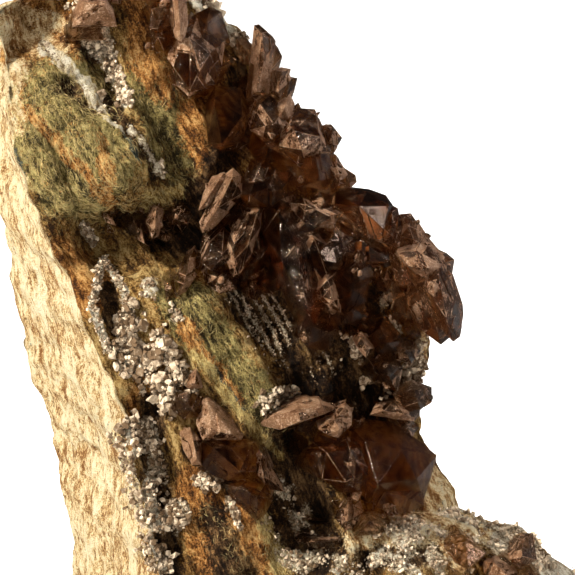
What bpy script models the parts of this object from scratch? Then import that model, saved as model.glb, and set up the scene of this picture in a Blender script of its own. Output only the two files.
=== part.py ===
"""Axinite crystals on a slab of their own rock, standing on a flat broken foot.

The slab is described in its own frame, in millimetres: u runs to the right across its face, v runs up
it, and w comes out of it. stand() leans the slab back, sets its foot on Z = 0 and turns millimetres into
Blender's metres. The rock is one solid with a socket for the root of each crystal, and crystals that grew
through each other are one solid.
"""

from dataclasses import dataclass
from math import cos, radians, sin

import bmesh
import bpy
import numpy as np
from mathutils import Matrix, Vector

MM = 0.001
LEAN_BACK = radians(8.0)
SOCKET_GAP = 0.45
# Faces that meet at less than this are taken as one flat face.
FLAT_ANGLE = radians(2.0)

# Height of the slab, and the rows of its surface, closer together over the top ledge.
SLAB_TOP = 90.0
ROWS = 33

# Outlines of the rock seen square on, as (height v, place u).
LEFT_OUTLINE = (
    (0, -28.8), (10, -29.3), (19.5, -29.8), (25.8, -31.0), (29, -32.3), (34, -33.8), (36.5, -35.0),
    (42, -36.0), (49.5, -36.8), (53, -37.5), (63, -39.0), (74.5, -39.2), (80.5, -38.4), (83, -34.5),
    (86, -29.5), (90, -23.5),
)
RIDGE = (
    (0, -16.0), (10, -17.8), (16, -19.0), (22, -20.1), (29, -21.6), (34.5, -23.6), (40.8, -26.3),
    (45.8, -28.0), (50.8, -30.6), (56.4, -32.8), (63.5, -35.0), (74.5, -37.3), (80.5, -37.4),
    (83, -33.8), (86, -29.0), (90, -23.2),
)
RIGHT_OUTLINE = (
    (0, 40.6), (10, 35.0), (12, 32.5), (15.8, 27.5), (17.2, 22.5), (18, 19.6), (21, 18.4), (24.5, 16.6),
    (28, 15.0), (32, 14.5), (35, 15.0), (40.5, 16.3), (44, 15.0), (49.5, 11.5), (59.5, 3.5),
    (68.3, -2.1), (72, -4.5), (78.3, -7.8), (82, -10.9), (85.8, -14.4), (90, -19.0),
)
# Depths of the rock's edges, as (height v, depth w).
RIDGE_DEPTH = ((0, 11.0), (30, 10.5), (60, 9.5), (80, 7.5), (86, 4.5), (90, 0.5))
LEFT_DEPTH = ((0, -12.0), (30, -12.0), (60, -10.0), (80, -8.0), (90, -3.0))
BACK_DEPTH = ((0, -22.0), (12, -20.0), (40, -18.5), (65, -17.0), (80, -13.0), (87, -9.0), (90, -5.0))
# How far the face falls back from the ridge, as (share of the way to the right outline, fall).
FACE_PROFILE = ((0.0, 0.6), (0.12, -0.5), (0.32, 0.9), (0.6, -1.5), (0.85, -6.5), (1.0, -13.0))
BACK_INSET_RIGHT = 7.0
BACK_INSET_LEFT = 8.0

# Columns of the surface over each face of the slab, as (how many to the next edge).
FACE_COLUMNS = (3, 5, 7, 7, 4)
RIGHT_SIDE_COLUMNS = 4
BACK_COLUMNS = 6
BACK_CORNER_COLUMNS = 2
BROKEN_FACE_COLUMNS = 6


@dataclass(frozen=True)
class Relief:
    """A lump or a hollow on the face: an oval of the given half lengths, turned by turn degrees."""

    centre: tuple
    half: tuple
    turn: float
    height: float
    steepness: float = 6.0

    def at(self, u, v):
        """Height of the relief at each point: full inside the oval, falling to nothing outside it."""
        turn = radians(self.turn)
        du, dv = u - self.centre[0], v - self.centre[1]
        along = (du * cos(turn) + dv * sin(turn)) / self.half[0]
        across = (dv * cos(turn) - du * sin(turn)) / self.half[1]
        distance = np.hypot(along, across)
        return self.height / (1.0 + distance**self.steepness)


FACE_RELIEF = {
    "green block": Relief((-26.9, 63.4), (8.8, 7.6), -10, 3.4, 10),
    "hollow in the block": Relief((-25.6, 69.6), (3.6, 1.9), -25, -2.2, 4),
    "top ledge": Relief((-36.0, 79.5), (8.0, 4.6), 0, -4.0, 8),
    "black groove": Relief((-24.4, 74.5), (6.8, 1.9), -65, -3.4, 4),
    "cavity below the block": Relief((-20.6, 51.6), (9.0, 4.4), -10, -5.2, 6),
    "raised lamina": Relief((-8.6, 36.0), (12.4, 3.2), -61, 2.2, 8),
    "grain trough": Relief((-18.2, 22.0), (13.5, 3.0), -82, -2.4, 6),
    "seat of the lower left crystals": Relief((-11.2, 27.0), (3.2, 5.6), -10, -2.0, 5),
    "gap below the lamina": Relief((-1.0, 18.9), (4.2, 7.6), -10, -4.2, 4),
    "gap in the crystals": Relief((-4.6, 45.8), (2.6, 6.2), 8, -3.6, 4),
    "band at the foot": Relief((-8.0, 9.0), (4.4, 11.0), -12, 1.8, 8),
    "terrace at the foot": Relief((22.0, 10.5), (13.0, 5.0), -15, 2.6, 8),
    "pale lump": Relief((16.8, 21.0), (2.6, 3.4), 10, 2.4, 6),
}

# Steps of the layered rock: how far apart, how high, and the direction they run up the face.
LAYER_SPACING = 6.8
LAYER_STEP = 0.55
LAYER_TURN = radians(-63)


def table(rows, heights):
    """Value at each height of a table of (height, value), straight between its rows."""
    known, values = np.array(rows, float).T
    return np.interp(heights, known, values)


def lumps(u, v, w):
    """Gentle unevenness of broken rock: waves of 6 to 14 mm crossing each other, under 1 mm high."""
    broad = np.sin(0.46 * u + 0.9 * np.sin(0.19 * v + 0.7)) * np.sin(0.37 * v + 0.31 * w + 0.8)
    fine = np.sin(0.95 * u - 0.52 * v + 0.4) * np.sin(0.61 * v + 0.83 * w + 1.9 + 0.5 * np.sin(0.5 * u))
    return 0.55 * broad + 0.35 * fine


def layers(u, v):
    """Saw-toothed steps of the layered rock, each rising gently and breaking off at a long edge."""
    across = v * cos(LAYER_TURN) - u * sin(LAYER_TURN) + 1.2 * np.sin(0.17 * v + 0.6)
    phase = (across / LAYER_SPACING) % 1.0
    return LAYER_STEP * (np.minimum(phase, 5.0 * (1.0 - phase)) * 2.0 - 1.0)


def edges_at(v):
    """The eight edges of the slab's cross-section at each height, as (u, w) pairs, in order round it."""
    ridge, right = table(RIDGE, v), table(RIGHT_OUTLINE, v)
    left, ridge_depth = table(LEFT_OUTLINE, v), table(RIDGE_DEPTH, v)
    back = table(BACK_DEPTH, v)
    width = right - left
    width_of_face = right - ridge
    # The face falls back less where the slab thins out towards its top.
    thinning = np.clip((ridge_depth - back) / 24.0, 0.0, 1.0)
    face = [(ridge + share * width_of_face, ridge_depth + fall * thinning) for share, fall in FACE_PROFILE]
    back_right = (right - np.minimum(BACK_INSET_RIGHT, 0.3 * width), back + 1.5)
    back_left = (left + np.minimum(BACK_INSET_LEFT, 0.3 * width), back)
    return [*face, back_right, back_left, (left, table(LEFT_DEPTH, v))]


def slab_surface():
    """(u, v, w) of the rock's surface on a grid of rows up the slab and columns round it."""
    spans = (*FACE_COLUMNS, RIGHT_SIDE_COLUMNS, BACK_COLUMNS, BACK_CORNER_COLUMNS, BROKEN_FACE_COLUMNS)
    share_up = np.linspace(0.0, 1.0, ROWS)[:, None]
    u_parts, v_parts, w_parts = [], [], []
    foot_depth = [edge[1] for edge in edges_at(np.zeros(1))]
    for k, count in enumerate(spans):
        following = (k + 1) % len(spans)
        mix = np.arange(count) / count
        depth = foot_depth[k] * (1 - mix) + foot_depth[following] * mix
        # The foot is level, so a row starts lower where the slab's face leans over it.
        start = -depth * np.tan(LEAN_BACK)
        v = start + share_up * (SLAB_TOP - start)
        edges = edges_at(v)
        u_parts.append(edges[k][0] * (1 - mix) + edges[following][0] * mix)
        w_parts.append(edges[k][1] * (1 - mix) + edges[following][1] * mix)
        v_parts.append(v)
    u, v, w = (np.concatenate(parts, axis=1) for parts in (u_parts, v_parts, w_parts))
    return displaced(u, v, w, sum(FACE_COLUMNS))


def displaced(u, v, w, face_columns):
    """The surface with its relief: each point moves out along the cross-section's normal."""
    du = np.roll(u, -1, axis=1) - np.roll(u, 1, axis=1)
    dw = np.roll(w, -1, axis=1) - np.roll(w, 1, axis=1)
    length = np.maximum(np.hypot(du, dw), 1e-6)
    out_u, out_w = -dw / length, du / length
    rise = lumps(u, v, w) + layers(u, v)
    across = np.linspace(0.0, 1.0, face_columns)
    face_only = np.minimum(1.0, 8.0 * np.minimum(across + 0.04, 1.0 - across))
    relief = sum(part.at(u[:, :face_columns], v[:, :face_columns]) for part in FACE_RELIEF.values())
    above_foot = np.clip(v / 6.0, 0.0, 1.0)
    under_top = np.clip((SLAB_TOP + 2.0 - v) / 10.0, 0.0, 1.0)
    rise *= above_foot * under_top
    u, w = u + out_u * rise, w + out_w * rise
    w[:, :face_columns] += relief * face_only * above_foot[:, :face_columns]
    return u, v, w


def stand(u, v, w):
    """Points of the slab's frame, in millimetres, as points in metres: leaning back on a level foot."""
    y = v * sin(LEAN_BACK) - w * cos(LEAN_BACK)
    z = v * cos(LEAN_BACK) + w * sin(LEAN_BACK)
    return np.stack([u, y, z], axis=-1) * MM


def material(name, colour, roughness, transmission=0.0):
    """A Principled BSDF of that colour and roughness, see-through where transmission is above 0."""
    made = bpy.data.materials.new(name)
    made.use_nodes = True
    shader = made.node_tree.nodes["Principled BSDF"]
    shader.inputs["Base Color"].default_value = (*colour, 1.0)
    shader.inputs["Roughness"].default_value = roughness
    shader.inputs["Transmission Weight"].default_value = transmission
    shader.inputs["IOR"].default_value = 1.68 if transmission else 1.5
    return made


def add_object(name, mesh, finish=None, helper=False):
    """A new object of that mesh. A helper is only a cutter or a part of a union, and isn't rendered."""
    made = bpy.data.objects.new(name, mesh)
    bpy.context.scene.collection.objects.link(made)
    if finish:
        mesh.materials.append(finish)
    if helper:
        made.hide_render = True
        made.display_type = "WIRE"
    return made


def rock_mesh():
    """The rock as one closed mesh: the grid of its surface, a flat foot and a small cap on top."""
    u, v, w = slab_surface()
    points = stand(u, v, w)
    points[0, :, 2] = 0.0
    points[..., 2] = np.maximum(points[..., 2], 0.0)
    rows, columns = u.shape
    index = np.arange(rows * columns).reshape(rows, columns)
    beside = np.roll(index, -1, axis=1)
    quads = np.stack([index[:-1], beside[:-1], beside[1:], index[1:]], axis=-1).reshape(-1, 4)
    mesh = bpy.data.meshes.new("matrix")
    caps = [index[0, ::-1].tolist(), index[-1].tolist()]
    mesh.from_pydata(points.reshape(-1, 3).tolist(), [], quads.tolist() + caps)
    soften(mesh)
    return mesh


def soften(mesh):
    """Triangulates the mesh, welds points that meet and turns its faces outwards."""
    edit = bmesh.new()
    edit.from_mesh(mesh)
    bmesh.ops.remove_doubles(edit, verts=edit.verts, dist=0.02 * MM)
    bmesh.ops.triangulate(edit, faces=edit.faces)
    bmesh.ops.recalc_face_normals(edit, faces=edit.faces)
    edit.to_mesh(mesh)
    edit.free()


@dataclass(frozen=True)
class Crystal:
    """One crystal, from the middle of its buried root to its tip, in the slab's frame.

    roll turns its broad face about its long axis: at 0 that face looks out of the slab.
    """

    root: tuple
    tip: tuple
    width: float
    thickness: float
    roll: float = 0.0
    habit: str = "axe"


# Corners of each habit, as shares of (width, thickness, length).
HABITS = {
    # A wedge with a long slanting edge, as of an axe, on a lozenge-shaped root.
    "axe": (
        (0.42, 0.0, 0.0), (0.06, 0.5, 0.0), (-0.42, 0.0, 0.0), (-0.06, -0.5, 0.0),
        (0.5, -0.1, 0.5), (0.14, 0.5, 0.56), (-0.5, 0.1, 0.46), (-0.14, -0.5, 0.52),
        (0.48, -0.02, 0.8), (0.32, 0.03, 1.0), (-0.36, 0.03, 0.84),
    ),
    # A long crystal that ends in a short chisel.
    "blade": (
        (0.42, -0.12, 0.0), (0.16, 0.45, 0.0), (-0.42, 0.12, 0.0), (-0.16, -0.45, 0.0),
        (0.5, -0.14, 0.76), (0.16, 0.5, 0.72), (-0.5, 0.14, 0.66), (-0.16, -0.5, 0.7),
        (0.34, 0.0, 1.0), (0.05, 0.06, 0.97), (-0.34, 0.06, 0.84),
    ),
    # A thick skewed block with a flat slanting end.
    "block": (
        (0.4, 0.3, 0.0), (0.3, -0.4, 0.0), (-0.4, -0.3, 0.0), (-0.3, 0.4, 0.0),
        (0.5, 0.3, 0.74), (0.4, -0.42, 0.82), (-0.44, -0.34, 1.0), (-0.38, 0.4, 0.92),
        (0.2, 0.44, 0.84), (-0.1, -0.46, 0.96),
    ),
    # A broad thin plate with bevelled rims and a straight far edge.
    "plate": (
        (0.36, 0.0, 0.0), (0.2, 0.5, 0.04), (-0.36, 0.0, 0.0), (-0.2, -0.5, 0.04),
        (0.5, 0.0, 0.5), (0.34, 0.5, 0.6), (-0.3, 0.5, 0.5), (0.3, -0.5, 0.5), (-0.34, -0.5, 0.6),
        (-0.5, 0.0, 0.62), (0.42, 0.02, 0.94), (-0.38, 0.02, 1.0),
    ),
}


def crystal_points(crystal, swell=0.0):
    """Corners of the crystal in the slab's frame. swell makes it that much larger on every side."""
    root, tip = Vector(crystal.root), Vector(crystal.tip)
    along = (tip - root).normalized()
    reference = Vector((0, 0, 1)) if abs(along.z) < 0.94 else Vector((0, 1, 0))
    face = (reference - reference.dot(along) * along).normalized()
    face = Matrix.Rotation(radians(crystal.roll), 3, along) @ face
    side = along.cross(face)
    length = (tip - root).length + 2 * swell
    width, thickness = crystal.width + 2 * swell, crystal.thickness + 2 * swell
    start = root - along * swell
    return [
        start + side * (x * width) + face * (y * thickness) + along * (z * length)
        for x, y, z in HABITS[crystal.habit]
    ]


def crystal_mesh(name, crystal, swell=0.0):
    """The crystal as a closed mesh of flat faces: the hull of its corners."""
    corners = np.array(crystal_points(crystal, swell))
    edit = bmesh.new()
    for point in stand(*corners.T):
        edit.verts.new(point)
    hull = bmesh.ops.convex_hull(edit, input=edit.verts)
    spare = [part for part in hull["geom_interior"] + hull["geom_unused"] if isinstance(part, bmesh.types.BMVert)]
    bmesh.ops.delete(edit, geom=list(set(spare)), context="VERTS")
    bmesh.ops.recalc_face_normals(edit, faces=edit.faces)
    mesh = bpy.data.meshes.new(name)
    edit.to_mesh(mesh)
    edit.free()
    return mesh


CLUSTERS = {
    "axinite_top": (
        Crystal((-24.6, 85.4, 3.0), (-28.2, 78.4, 11.8), 5.2, 3.2, 20, "axe"),
        Crystal((-22.6, 85.0, 3.0), (-23.4, 79.0, 10.8), 3.8, 2.6, -15, "axe"),
        Crystal((-23.6, 86.0, 3.0), (-25.4, 87.6, 9.5), 3.8, 2.8, 30, "block"),
    ),
    "axinite_crest": (
        Crystal((-14.5, 76.5, 5.0), (-18.9, 80.9, 11.8), 4.6, 3.4, 25, "block"),
        Crystal((-15.6, 80.6, 6.5), (-14.7, 76.4, 13.4), 2.0, 1.4, 10, "blade"),
        Crystal((-11.2, 78.4, 3.0), (-13.4, 69.6, 13.0), 7.6, 3.4, -8, "plate"),
        Crystal((-12.2, 78.6, 4.0), (-10.2, 74.4, 11.6), 4.8, 3.0, 35, "axe"),
        Crystal((-15.6, 76.8, 5.5), (-18.6, 75.6, 11.6), 3.8, 2.8, -20, "axe"),
    ),
    "axinite_left_wing": (
        Crystal((-17.2, 58.4, 4.0), (-18.6, 52.8, 11.4), 2.6, 1.9, 12, "blade"),
        Crystal((-15.2, 58.6, 4.0), (-15.4, 54.0, 11.2), 3.8, 2.6, -18, "block"),
        Crystal((-18.4, 58.4, 4.0), (-21.2, 53.8, 9.8), 3.0, 2.3, 30, "axe"),
        Crystal((-16.4, 58.0, 4.0), (-17.0, 56.6, 11.0), 2.8, 2.0, -40, "axe"),
    ),
    "axinite_main": (
        # The upper crystals, up to the tall blade on the skyline.
        Crystal((-4.6, 65.0, 1.0), (-4.2, 78.9, 5.6), 3.0, 2.2, 15, "blade"),
        Crystal((-2.4, 66.0, 0.0), (-1.8, 73.8, 4.6), 3.0, 1.9, -20, "blade"),
        Crystal((-0.8, 65.6, -1.0), (-1.6, 70.8, 4.2), 2.8, 1.7, 40, "plate"),
        Crystal((-7.4, 72.0, 1.0), (-9.8, 62.6, 11.2), 6.4, 3.6, 5, "plate"),
        Crystal((-4.0, 67.0, 1.0), (-5.6, 62.4, 9.4), 4.2, 3.0, -30, "axe"),
        Crystal((-1.9, 61.6, 0.0), (1.4, 68.4, 8.0), 6.4, 4.4, 20, "block"),
        Crystal((0.4, 62.6, 1.6), (5.2, 65.0, 4.8), 3.2, 2.4, 10, "axe"),
        Crystal((0.4, 61.6, 1.0), (5.8, 58.8, 4.0), 3.6, 2.8, -15, "block"),
        Crystal((-2.0, 61.0, 0.6), (4.4, 62.2, 7.6), 5.6, 4.4, -25, "axe"),
        Crystal((-6.6, 68.6, 0.0), (-6.4, 74.8, 5.6), 3.4, 2.6, 50, "axe"),
        # The middle, where the largest crystals hang down.
        Crystal((-12.4, 51.6, 4.0), (-7.4, 60.9, 13.8), 5.2, 3.6, 22, "blade"),
        Crystal((-10.4, 50.4, 5.0), (-5.6, 60.2, 12.8), 4.8, 3.6, -25, "blade"),
        Crystal((-4.9, 56.6, 6.0), (-7.7, 47.3, 14.8), 4.0, 2.6, 28, "blade"),
        Crystal((-12.8, 52.8, 4.0), (-16.2, 45.3, 12.2), 4.4, 3.2, -15, "blade"),
        Crystal((-14.6, 52.0, 4.0), (-17.2, 48.4, 11.2), 3.0, 2.3, 35, "axe"),
        Crystal((-9.0, 51.6, 5.0), (-10.8, 45.4, 12.6), 5.0, 3.6, 10, "block"),
        Crystal((-4.8, 56.6, 4.0), (-4.9, 62.6, 12.8), 4.0, 3.2, -30, "axe"),
        Crystal((-3.6, 56.4, 4.5), (-2.0, 61.4, 12.2), 3.0, 2.3, 30, "block"),
        Crystal((-2.8, 58.4, 3.5), (3.0, 39.7, 14.6), 7.8, 5.8, -12, "blade"),
        Crystal((-0.8, 54.6, 4.0), (5.2, 55.8, 12.2), 5.4, 4.0, 15, "block"),
        Crystal((4.0, 47.8, 4.0), (4.6, 53.2, 13.0), 4.0, 2.6, 5, "axe"),
        Crystal((3.4, 43.4, 2.5), (8.1, 49.6, 13.8), 6.4, 4.8, 30, "axe"),
        Crystal((3.4, 47.0, 3.0), (4.0, 42.4, 13.4), 4.8, 3.6, -35, "block"),
        Crystal((1.8, 42.6, 4.0), (3.8, 37.6, 12.0), 4.6, 3.5, 18, "axe"),
        Crystal((4.8, 44.8, 2.0), (9.0, 42.8, 11.4), 4.6, 3.5, -10, "axe"),
        # The right-hand ridge against the light, and the crystals below it.
        Crystal((4.6, 58.8, -1.5), (11.4, 53.4, 8.0), 6.0, 4.2, -18, "block"),
        Crystal((7.6, 57.0, -1.5), (10.0, 57.8, 5.6), 4.6, 3.4, 22, "block"),
        Crystal((9.4, 55.6, -1.6), (16.2, 50.4, 4.4), 5.4, 4.4, 10, "block"),
        Crystal((11.4, 53.6, -4.0), (14.2, 55.0, 2.4), 4.4, 3.4, -30, "axe"),
        Crystal((10.4, 52.2, -1.5), (17.0, 47.2, 7.8), 5.2, 3.8, 35, "axe"),
        Crystal((15.0, 49.0, -3.0), (19.6, 39.6, 3.8), 4.8, 3.8, -10, "blade"),
        Crystal((15.2, 48.6, -1.5), (17.2, 41.6, 7.0), 4.0, 3.2, 25, "axe"),
        Crystal((13.0, 50.4, -2.0), (12.2, 45.0, 7.2), 4.6, 3.6, -20, "axe"),
        Crystal((10.2, 47.4, -1.5), (10.4, 44.6, 8.4), 4.2, 3.4, -25, "block"),
        Crystal((14.6, 43.6, -4.0), (13.4, 39.4, 5.4), 4.2, 3.2, 15, "axe"),
        Crystal((10.6, 36.4, 1.0), (6.8, 41.2, 10.4), 3.4, 2.6, 12, "blade"),
        Crystal((10.8, 39.8, -1.0), (11.8, 33.0, 9.0), 4.8, 3.6, -22, "blade"),
        Crystal((9.0, 40.2, 0.0), (12.6, 36.2, 9.2), 5.6, 3.8, 25, "axe"),
        Crystal((10.8, 36.0, 2.4), (16.9, 33.4, 4.2), 3.3, 2.6, 8, "block"),
    ),
    "axinite_right_low": (
        Crystal((10.0, 29.6, 0.0), (15.1, 31.7, 6.2), 3.2, 2.4, -10, "axe"),
        Crystal((12.0, 30.8, -1.5), (15.6, 28.6, 5.0), 2.8, 2.2, 28, "block"),
        Crystal((9.6, 30.8, 1.0), (11.4, 32.3, 7.6), 2.6, 2.0, -30, "axe"),
    ),
    "axinite_lower": (
        Crystal((-4.2, 29.6, 6.0), (6.5, 31.6, 15.2), 4.6, 3.0, 8, "axe"),
        Crystal((-3.0, 28.4, 6.0), (-1.4, 31.0, 14.2), 4.2, 2.8, -14, "block"),
        Crystal((2.6, 27.8, 5.5), (5.8, 28.3, 14.8), 3.8, 2.8, -30, "block"),
        Crystal((7.2, 21.6, 0.0), (15.2, 24.6, 11.2), 9.4, 7.2, 12, "block"),
        Crystal((7.4, 25.6, 1.0), (11.4, 28.4, 11.0), 7.2, 4.4, -28, "axe"),
        Crystal((8.0, 21.0, 1.0), (14.0, 18.4, 12.0), 7.0, 4.8, 30, "axe"),
        Crystal((6.0, 22.0, 2.5), (2.6, 25.4, 14.4), 8.0, 5.6, 10, "block"),
        Crystal((6.4, 21.0, 3.0), (6.0, 15.6, 13.0), 4.6, 3.8, -18, "blade"),
        Crystal((5.6, 19.0, 2.5), (1.0, 13.9, 9.6), 6.0, 2.6, 14, "plate"),
        Crystal((8.8, 20.4, 1.0), (13.6, 16.4, 9.8), 4.2, 3.2, -20, "block"),
    ),
    "axinite_lower_left": (
        Crystal((-13.8, 32.0, 7.0), (-12.8, 37.0, 14.6), 3.2, 2.0, 10, "plate"),
        Crystal((-13.6, 33.6, 7.0), (-14.9, 29.4, 14.0), 4.6, 3.0, -22, "axe"),
        Crystal((-10.8, 33.6, 7.0), (-9.2, 27.2, 15.8), 7.2, 2.8, 6, "plate"),
        Crystal((-10.0, 31.4, 7.5), (-7.6, 21.6, 14.6), 7.8, 3.2, -12, "plate"),
        Crystal((-8.0, 27.4, 8.0), (-2.9, 22.0, 13.8), 3.2, 2.5, 25, "axe"),
        Crystal((-9.0, 27.6, 7.0), (-6.2, 16.8, 12.4), 4.8, 3.4, 18, "axe"),
        Crystal((-12.4, 30.4, 7.5), (-13.8, 24.0, 13.6), 3.0, 2.4, -30, "blade"),
    ),
    "axinite_foot": (
        Crystal((23.0, 13.6, -1.0), (18.8, 15.4, 9.2), 4.8, 3.6, 18, "block"),
        Crystal((23.2, 12.2, 0.0), (21.6, 12.4, 10.6), 4.4, 3.2, 40, "block"),
        Crystal((25.0, 11.8, -1.0), (22.0, 9.0, 9.4), 4.4, 3.2, 30, "axe"),
        Crystal((23.0, 12.6, -1.0), (18.6, 10.2, 9.0), 4.0, 3.0, 10, "axe"),
        Crystal((25.6, 12.2, -1.5), (26.2, 14.4, 7.4), 3.2, 2.5, -25, "axe"),
    ),
    "axinite_foot_tip": (
        Crystal((28.9, 11.8, -2.0), (29.2, 15.5, 5.8), 2.8, 2.3, 12, "axe"),
        Crystal((29.4, 10.9, -2.0), (31.2, 12.8, 4.2), 2.4, 1.9, -20, "axe"),
    ),
    "axinite_back_upper": (
        Crystal((-1.0, 57.0, -14.5), (4.4, 61.8, -20.0), 4.8, 3.4, 20, "axe"),
        Crystal((0.6, 56.0, -13.5), (7.4, 55.4, -17.8), 4.6, 3.4, -15, "block"),
        Crystal((-2.4, 55.6, -14.5), (-1.6, 51.0, -21.6), 5.2, 3.6, 35, "axe"),
        Crystal((-0.4, 56.4, -14.5), (-3.4, 59.8, -21.2), 4.0, 3.0, -30, "axe"),
    ),
    "axinite_back_lower": (
        Crystal((6.8, 33.0, -15.5), (12.0, 36.8, -20.2), 5.0, 3.6, -10, "axe"),
        Crystal((6.6, 32.0, -15.5), (9.4, 27.0, -22.0), 5.4, 3.8, 25, "block"),
        Crystal((5.4, 33.0, -15.5), (1.4, 35.2, -21.8), 4.2, 3.0, 40, "axe"),
    ),
}


def hidden_crystals(collection_name, clusters, swell=0.0):
    """A collection of the crystals, kept out of the render, for a union or as cutters of sockets."""
    parts = bpy.data.collections.new(collection_name)
    bpy.context.scene.collection.children.link(parts)
    parts.hide_render = True
    for name, crystals in clusters.items():
        for number, crystal in enumerate(crystals, start=1):
            mesh = crystal_mesh(name, crystal, swell)
            part = add_object(f"{collection_name}_{name}_{number}", mesh, helper=True)
            bpy.context.scene.collection.objects.unlink(part)
            parts.objects.link(part)
    return parts


def combine(solid, operation, others):
    """Joins the collection of others to the solid or cuts them from it, and keeps the result as its mesh."""
    joint = solid.modifiers.new("combine", "BOOLEAN")
    joint.operation = operation
    joint.operand_type = "COLLECTION"
    joint.collection = others
    graph = bpy.context.evaluated_depsgraph_get()
    finished = bpy.data.meshes.new_from_object(solid.evaluated_get(graph))
    solid.modifiers.clear()
    solid.data = finished
    edit = bmesh.new()
    edit.from_mesh(finished)
    bmesh.ops.dissolve_limit(edit, angle_limit=FLAT_ANGLE, verts=edit.verts, edges=edit.edges)
    bmesh.ops.triangulate(edit, faces=edit.faces)
    keep_largest_part(edit)
    edit.to_mesh(finished)
    edit.free()


def keep_largest_part(edit):
    """Deletes the chips that a cut leaves free and the pockets that a union closes in."""
    unseen = set(edit.verts)
    parts = []
    while unseen:
        part, front = set(), [unseen.pop()]
        while front:
            vertex = front.pop()
            part.add(vertex)
            near = {edge.other_vert(vertex) for edge in vertex.link_edges} & unseen
            unseen -= near
            front.extend(near)
        parts.append(part)
    parts.sort(key=len)
    for part in parts[:-1]:
        bmesh.ops.delete(edit, geom=list(part), context="VERTS")


def clear_scene():
    """Removes every object that the scene starts with."""
    for old in list(bpy.data.objects):
        bpy.data.objects.remove(old)


def main():
    clear_scene()
    rock_finish = material("rock", (0.36, 0.25, 0.12), 0.85)
    axinite_finish = material("axinite", (0.26, 0.12, 0.07), 0.15, transmission=0.8)
    for name, crystals in CLUSTERS.items():
        cluster = add_object(name, crystal_mesh(name, crystals[0]), axinite_finish)
        combine(cluster, "UNION", hidden_crystals("part", {name: crystals[1:]}))
    rock = add_object("matrix", rock_mesh(), rock_finish)
    combine(rock, "DIFFERENCE", hidden_crystals("socket", CLUSTERS, SOCKET_GAP))


main()
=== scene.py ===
"""Axinite crystals on a leaning slab of layered rock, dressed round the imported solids.

Shapes are worked out in the slab's own frame, in millimetres: u runs to the right across its face, v up
it and w out of it. stand() leans the slab back on its flat foot and gives Blender's metres.
"""

from __future__ import annotations

import itertools
import logging
from dataclasses import dataclass
from enum import Enum
from math import atan, cos, pi, radians, sin, tan
from typing import Any

import bmesh
import bpy
import numpy as np
from mathutils import Matrix, Vector

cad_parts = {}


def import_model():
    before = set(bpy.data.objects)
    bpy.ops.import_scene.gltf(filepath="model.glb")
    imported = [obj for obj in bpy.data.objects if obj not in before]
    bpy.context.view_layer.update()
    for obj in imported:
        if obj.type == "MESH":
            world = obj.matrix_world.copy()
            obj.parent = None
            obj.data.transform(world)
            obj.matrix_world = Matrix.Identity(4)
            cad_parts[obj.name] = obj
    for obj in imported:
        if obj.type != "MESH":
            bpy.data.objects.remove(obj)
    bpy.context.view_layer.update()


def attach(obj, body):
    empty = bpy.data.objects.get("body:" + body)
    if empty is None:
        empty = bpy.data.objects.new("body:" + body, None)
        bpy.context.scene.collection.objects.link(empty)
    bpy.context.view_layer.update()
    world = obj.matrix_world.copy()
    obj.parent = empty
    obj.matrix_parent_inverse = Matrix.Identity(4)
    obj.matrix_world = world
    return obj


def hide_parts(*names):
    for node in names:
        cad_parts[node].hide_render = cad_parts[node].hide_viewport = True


Array = np.ndarray
Point = tuple[float, float]
Points = tuple[Point, ...]
Colour = tuple[float, float, float]
Corner = tuple[float, float, float]
Stops = tuple[tuple[float, Colour], ...]
Material = bpy.types.Material
Piece = bpy.types.Object
Random = np.random.Generator

LOG = logging.getLogger("axinite")

MM = 0.001
LEAN_BACK = radians(8.0)

# The photograph's frame: its side and its middle in pixels, and how many pixels one millimetre takes.
FRAME_SIDE = 575
PIXELS_PER_MM = 8.0
SEEN_ZERO = (300.0, 656.0)
# What the camera looks at, in the slab's frame, and how far away it stands, in metres.
TARGET = (-1.5625, 46.0625, 5.0)
CAMERA_DISTANCE = 0.75


def at(x: float, y: float) -> Point:
    """Place (u, v) on the slab, in millimetres, that shows at pixel (x, y) of the photograph."""
    return (x - SEEN_ZERO[0]) / PIXELS_PER_MM, (SEEN_ZERO[1] - y) / PIXELS_PER_MM


def seen(x: float, y: float, w: float) -> Corner:
    """Slab point (u, v, w) at height w on the line of sight through pixel (x, y)."""
    nearness = 1.0 - (w - TARGET[2]) * MM / CAMERA_DISTANCE
    return (*(middle + (part - middle) * nearness for part, middle in zip(at(x, y), TARGET)), w)


def stand(points: Array) -> Array:
    """Turns slab points into the row's frame: leaned back, and in metres.

    Args:
        points: slab points in millimetres.

    Returns:
        The same points as (x, y, z) in metres.
    """
    u, v, w = points[..., 0], points[..., 1], points[..., 2]
    y = v * sin(LEAN_BACK) - w * cos(LEAN_BACK)
    z = v * cos(LEAN_BACK) + w * sin(LEAN_BACK)
    return np.stack([u, y, z], axis=-1) * MM


def smooth_step(low: float, high: float, values: Array) -> Array:
    """Rises from 0 at low to 1 at high along an S-shaped curve: 3t squared less 2t cubed."""
    t = np.clip((values - low) / (high - low), 0.0, 1.0)
    return t * t * (3.0 - 2.0 * t)


def unit(vectors: Array) -> Array:
    """The vectors at length 1."""
    return vectors / np.maximum(np.linalg.norm(vectors, axis=-1, keepdims=True), 1e-9)


def table(rows: Points, heights: Array) -> Array:
    """Value at each height of a table of (height, value), straight between its rows."""
    known, values = np.array(rows, float).T
    return np.interp(heights, known, values)


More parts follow.
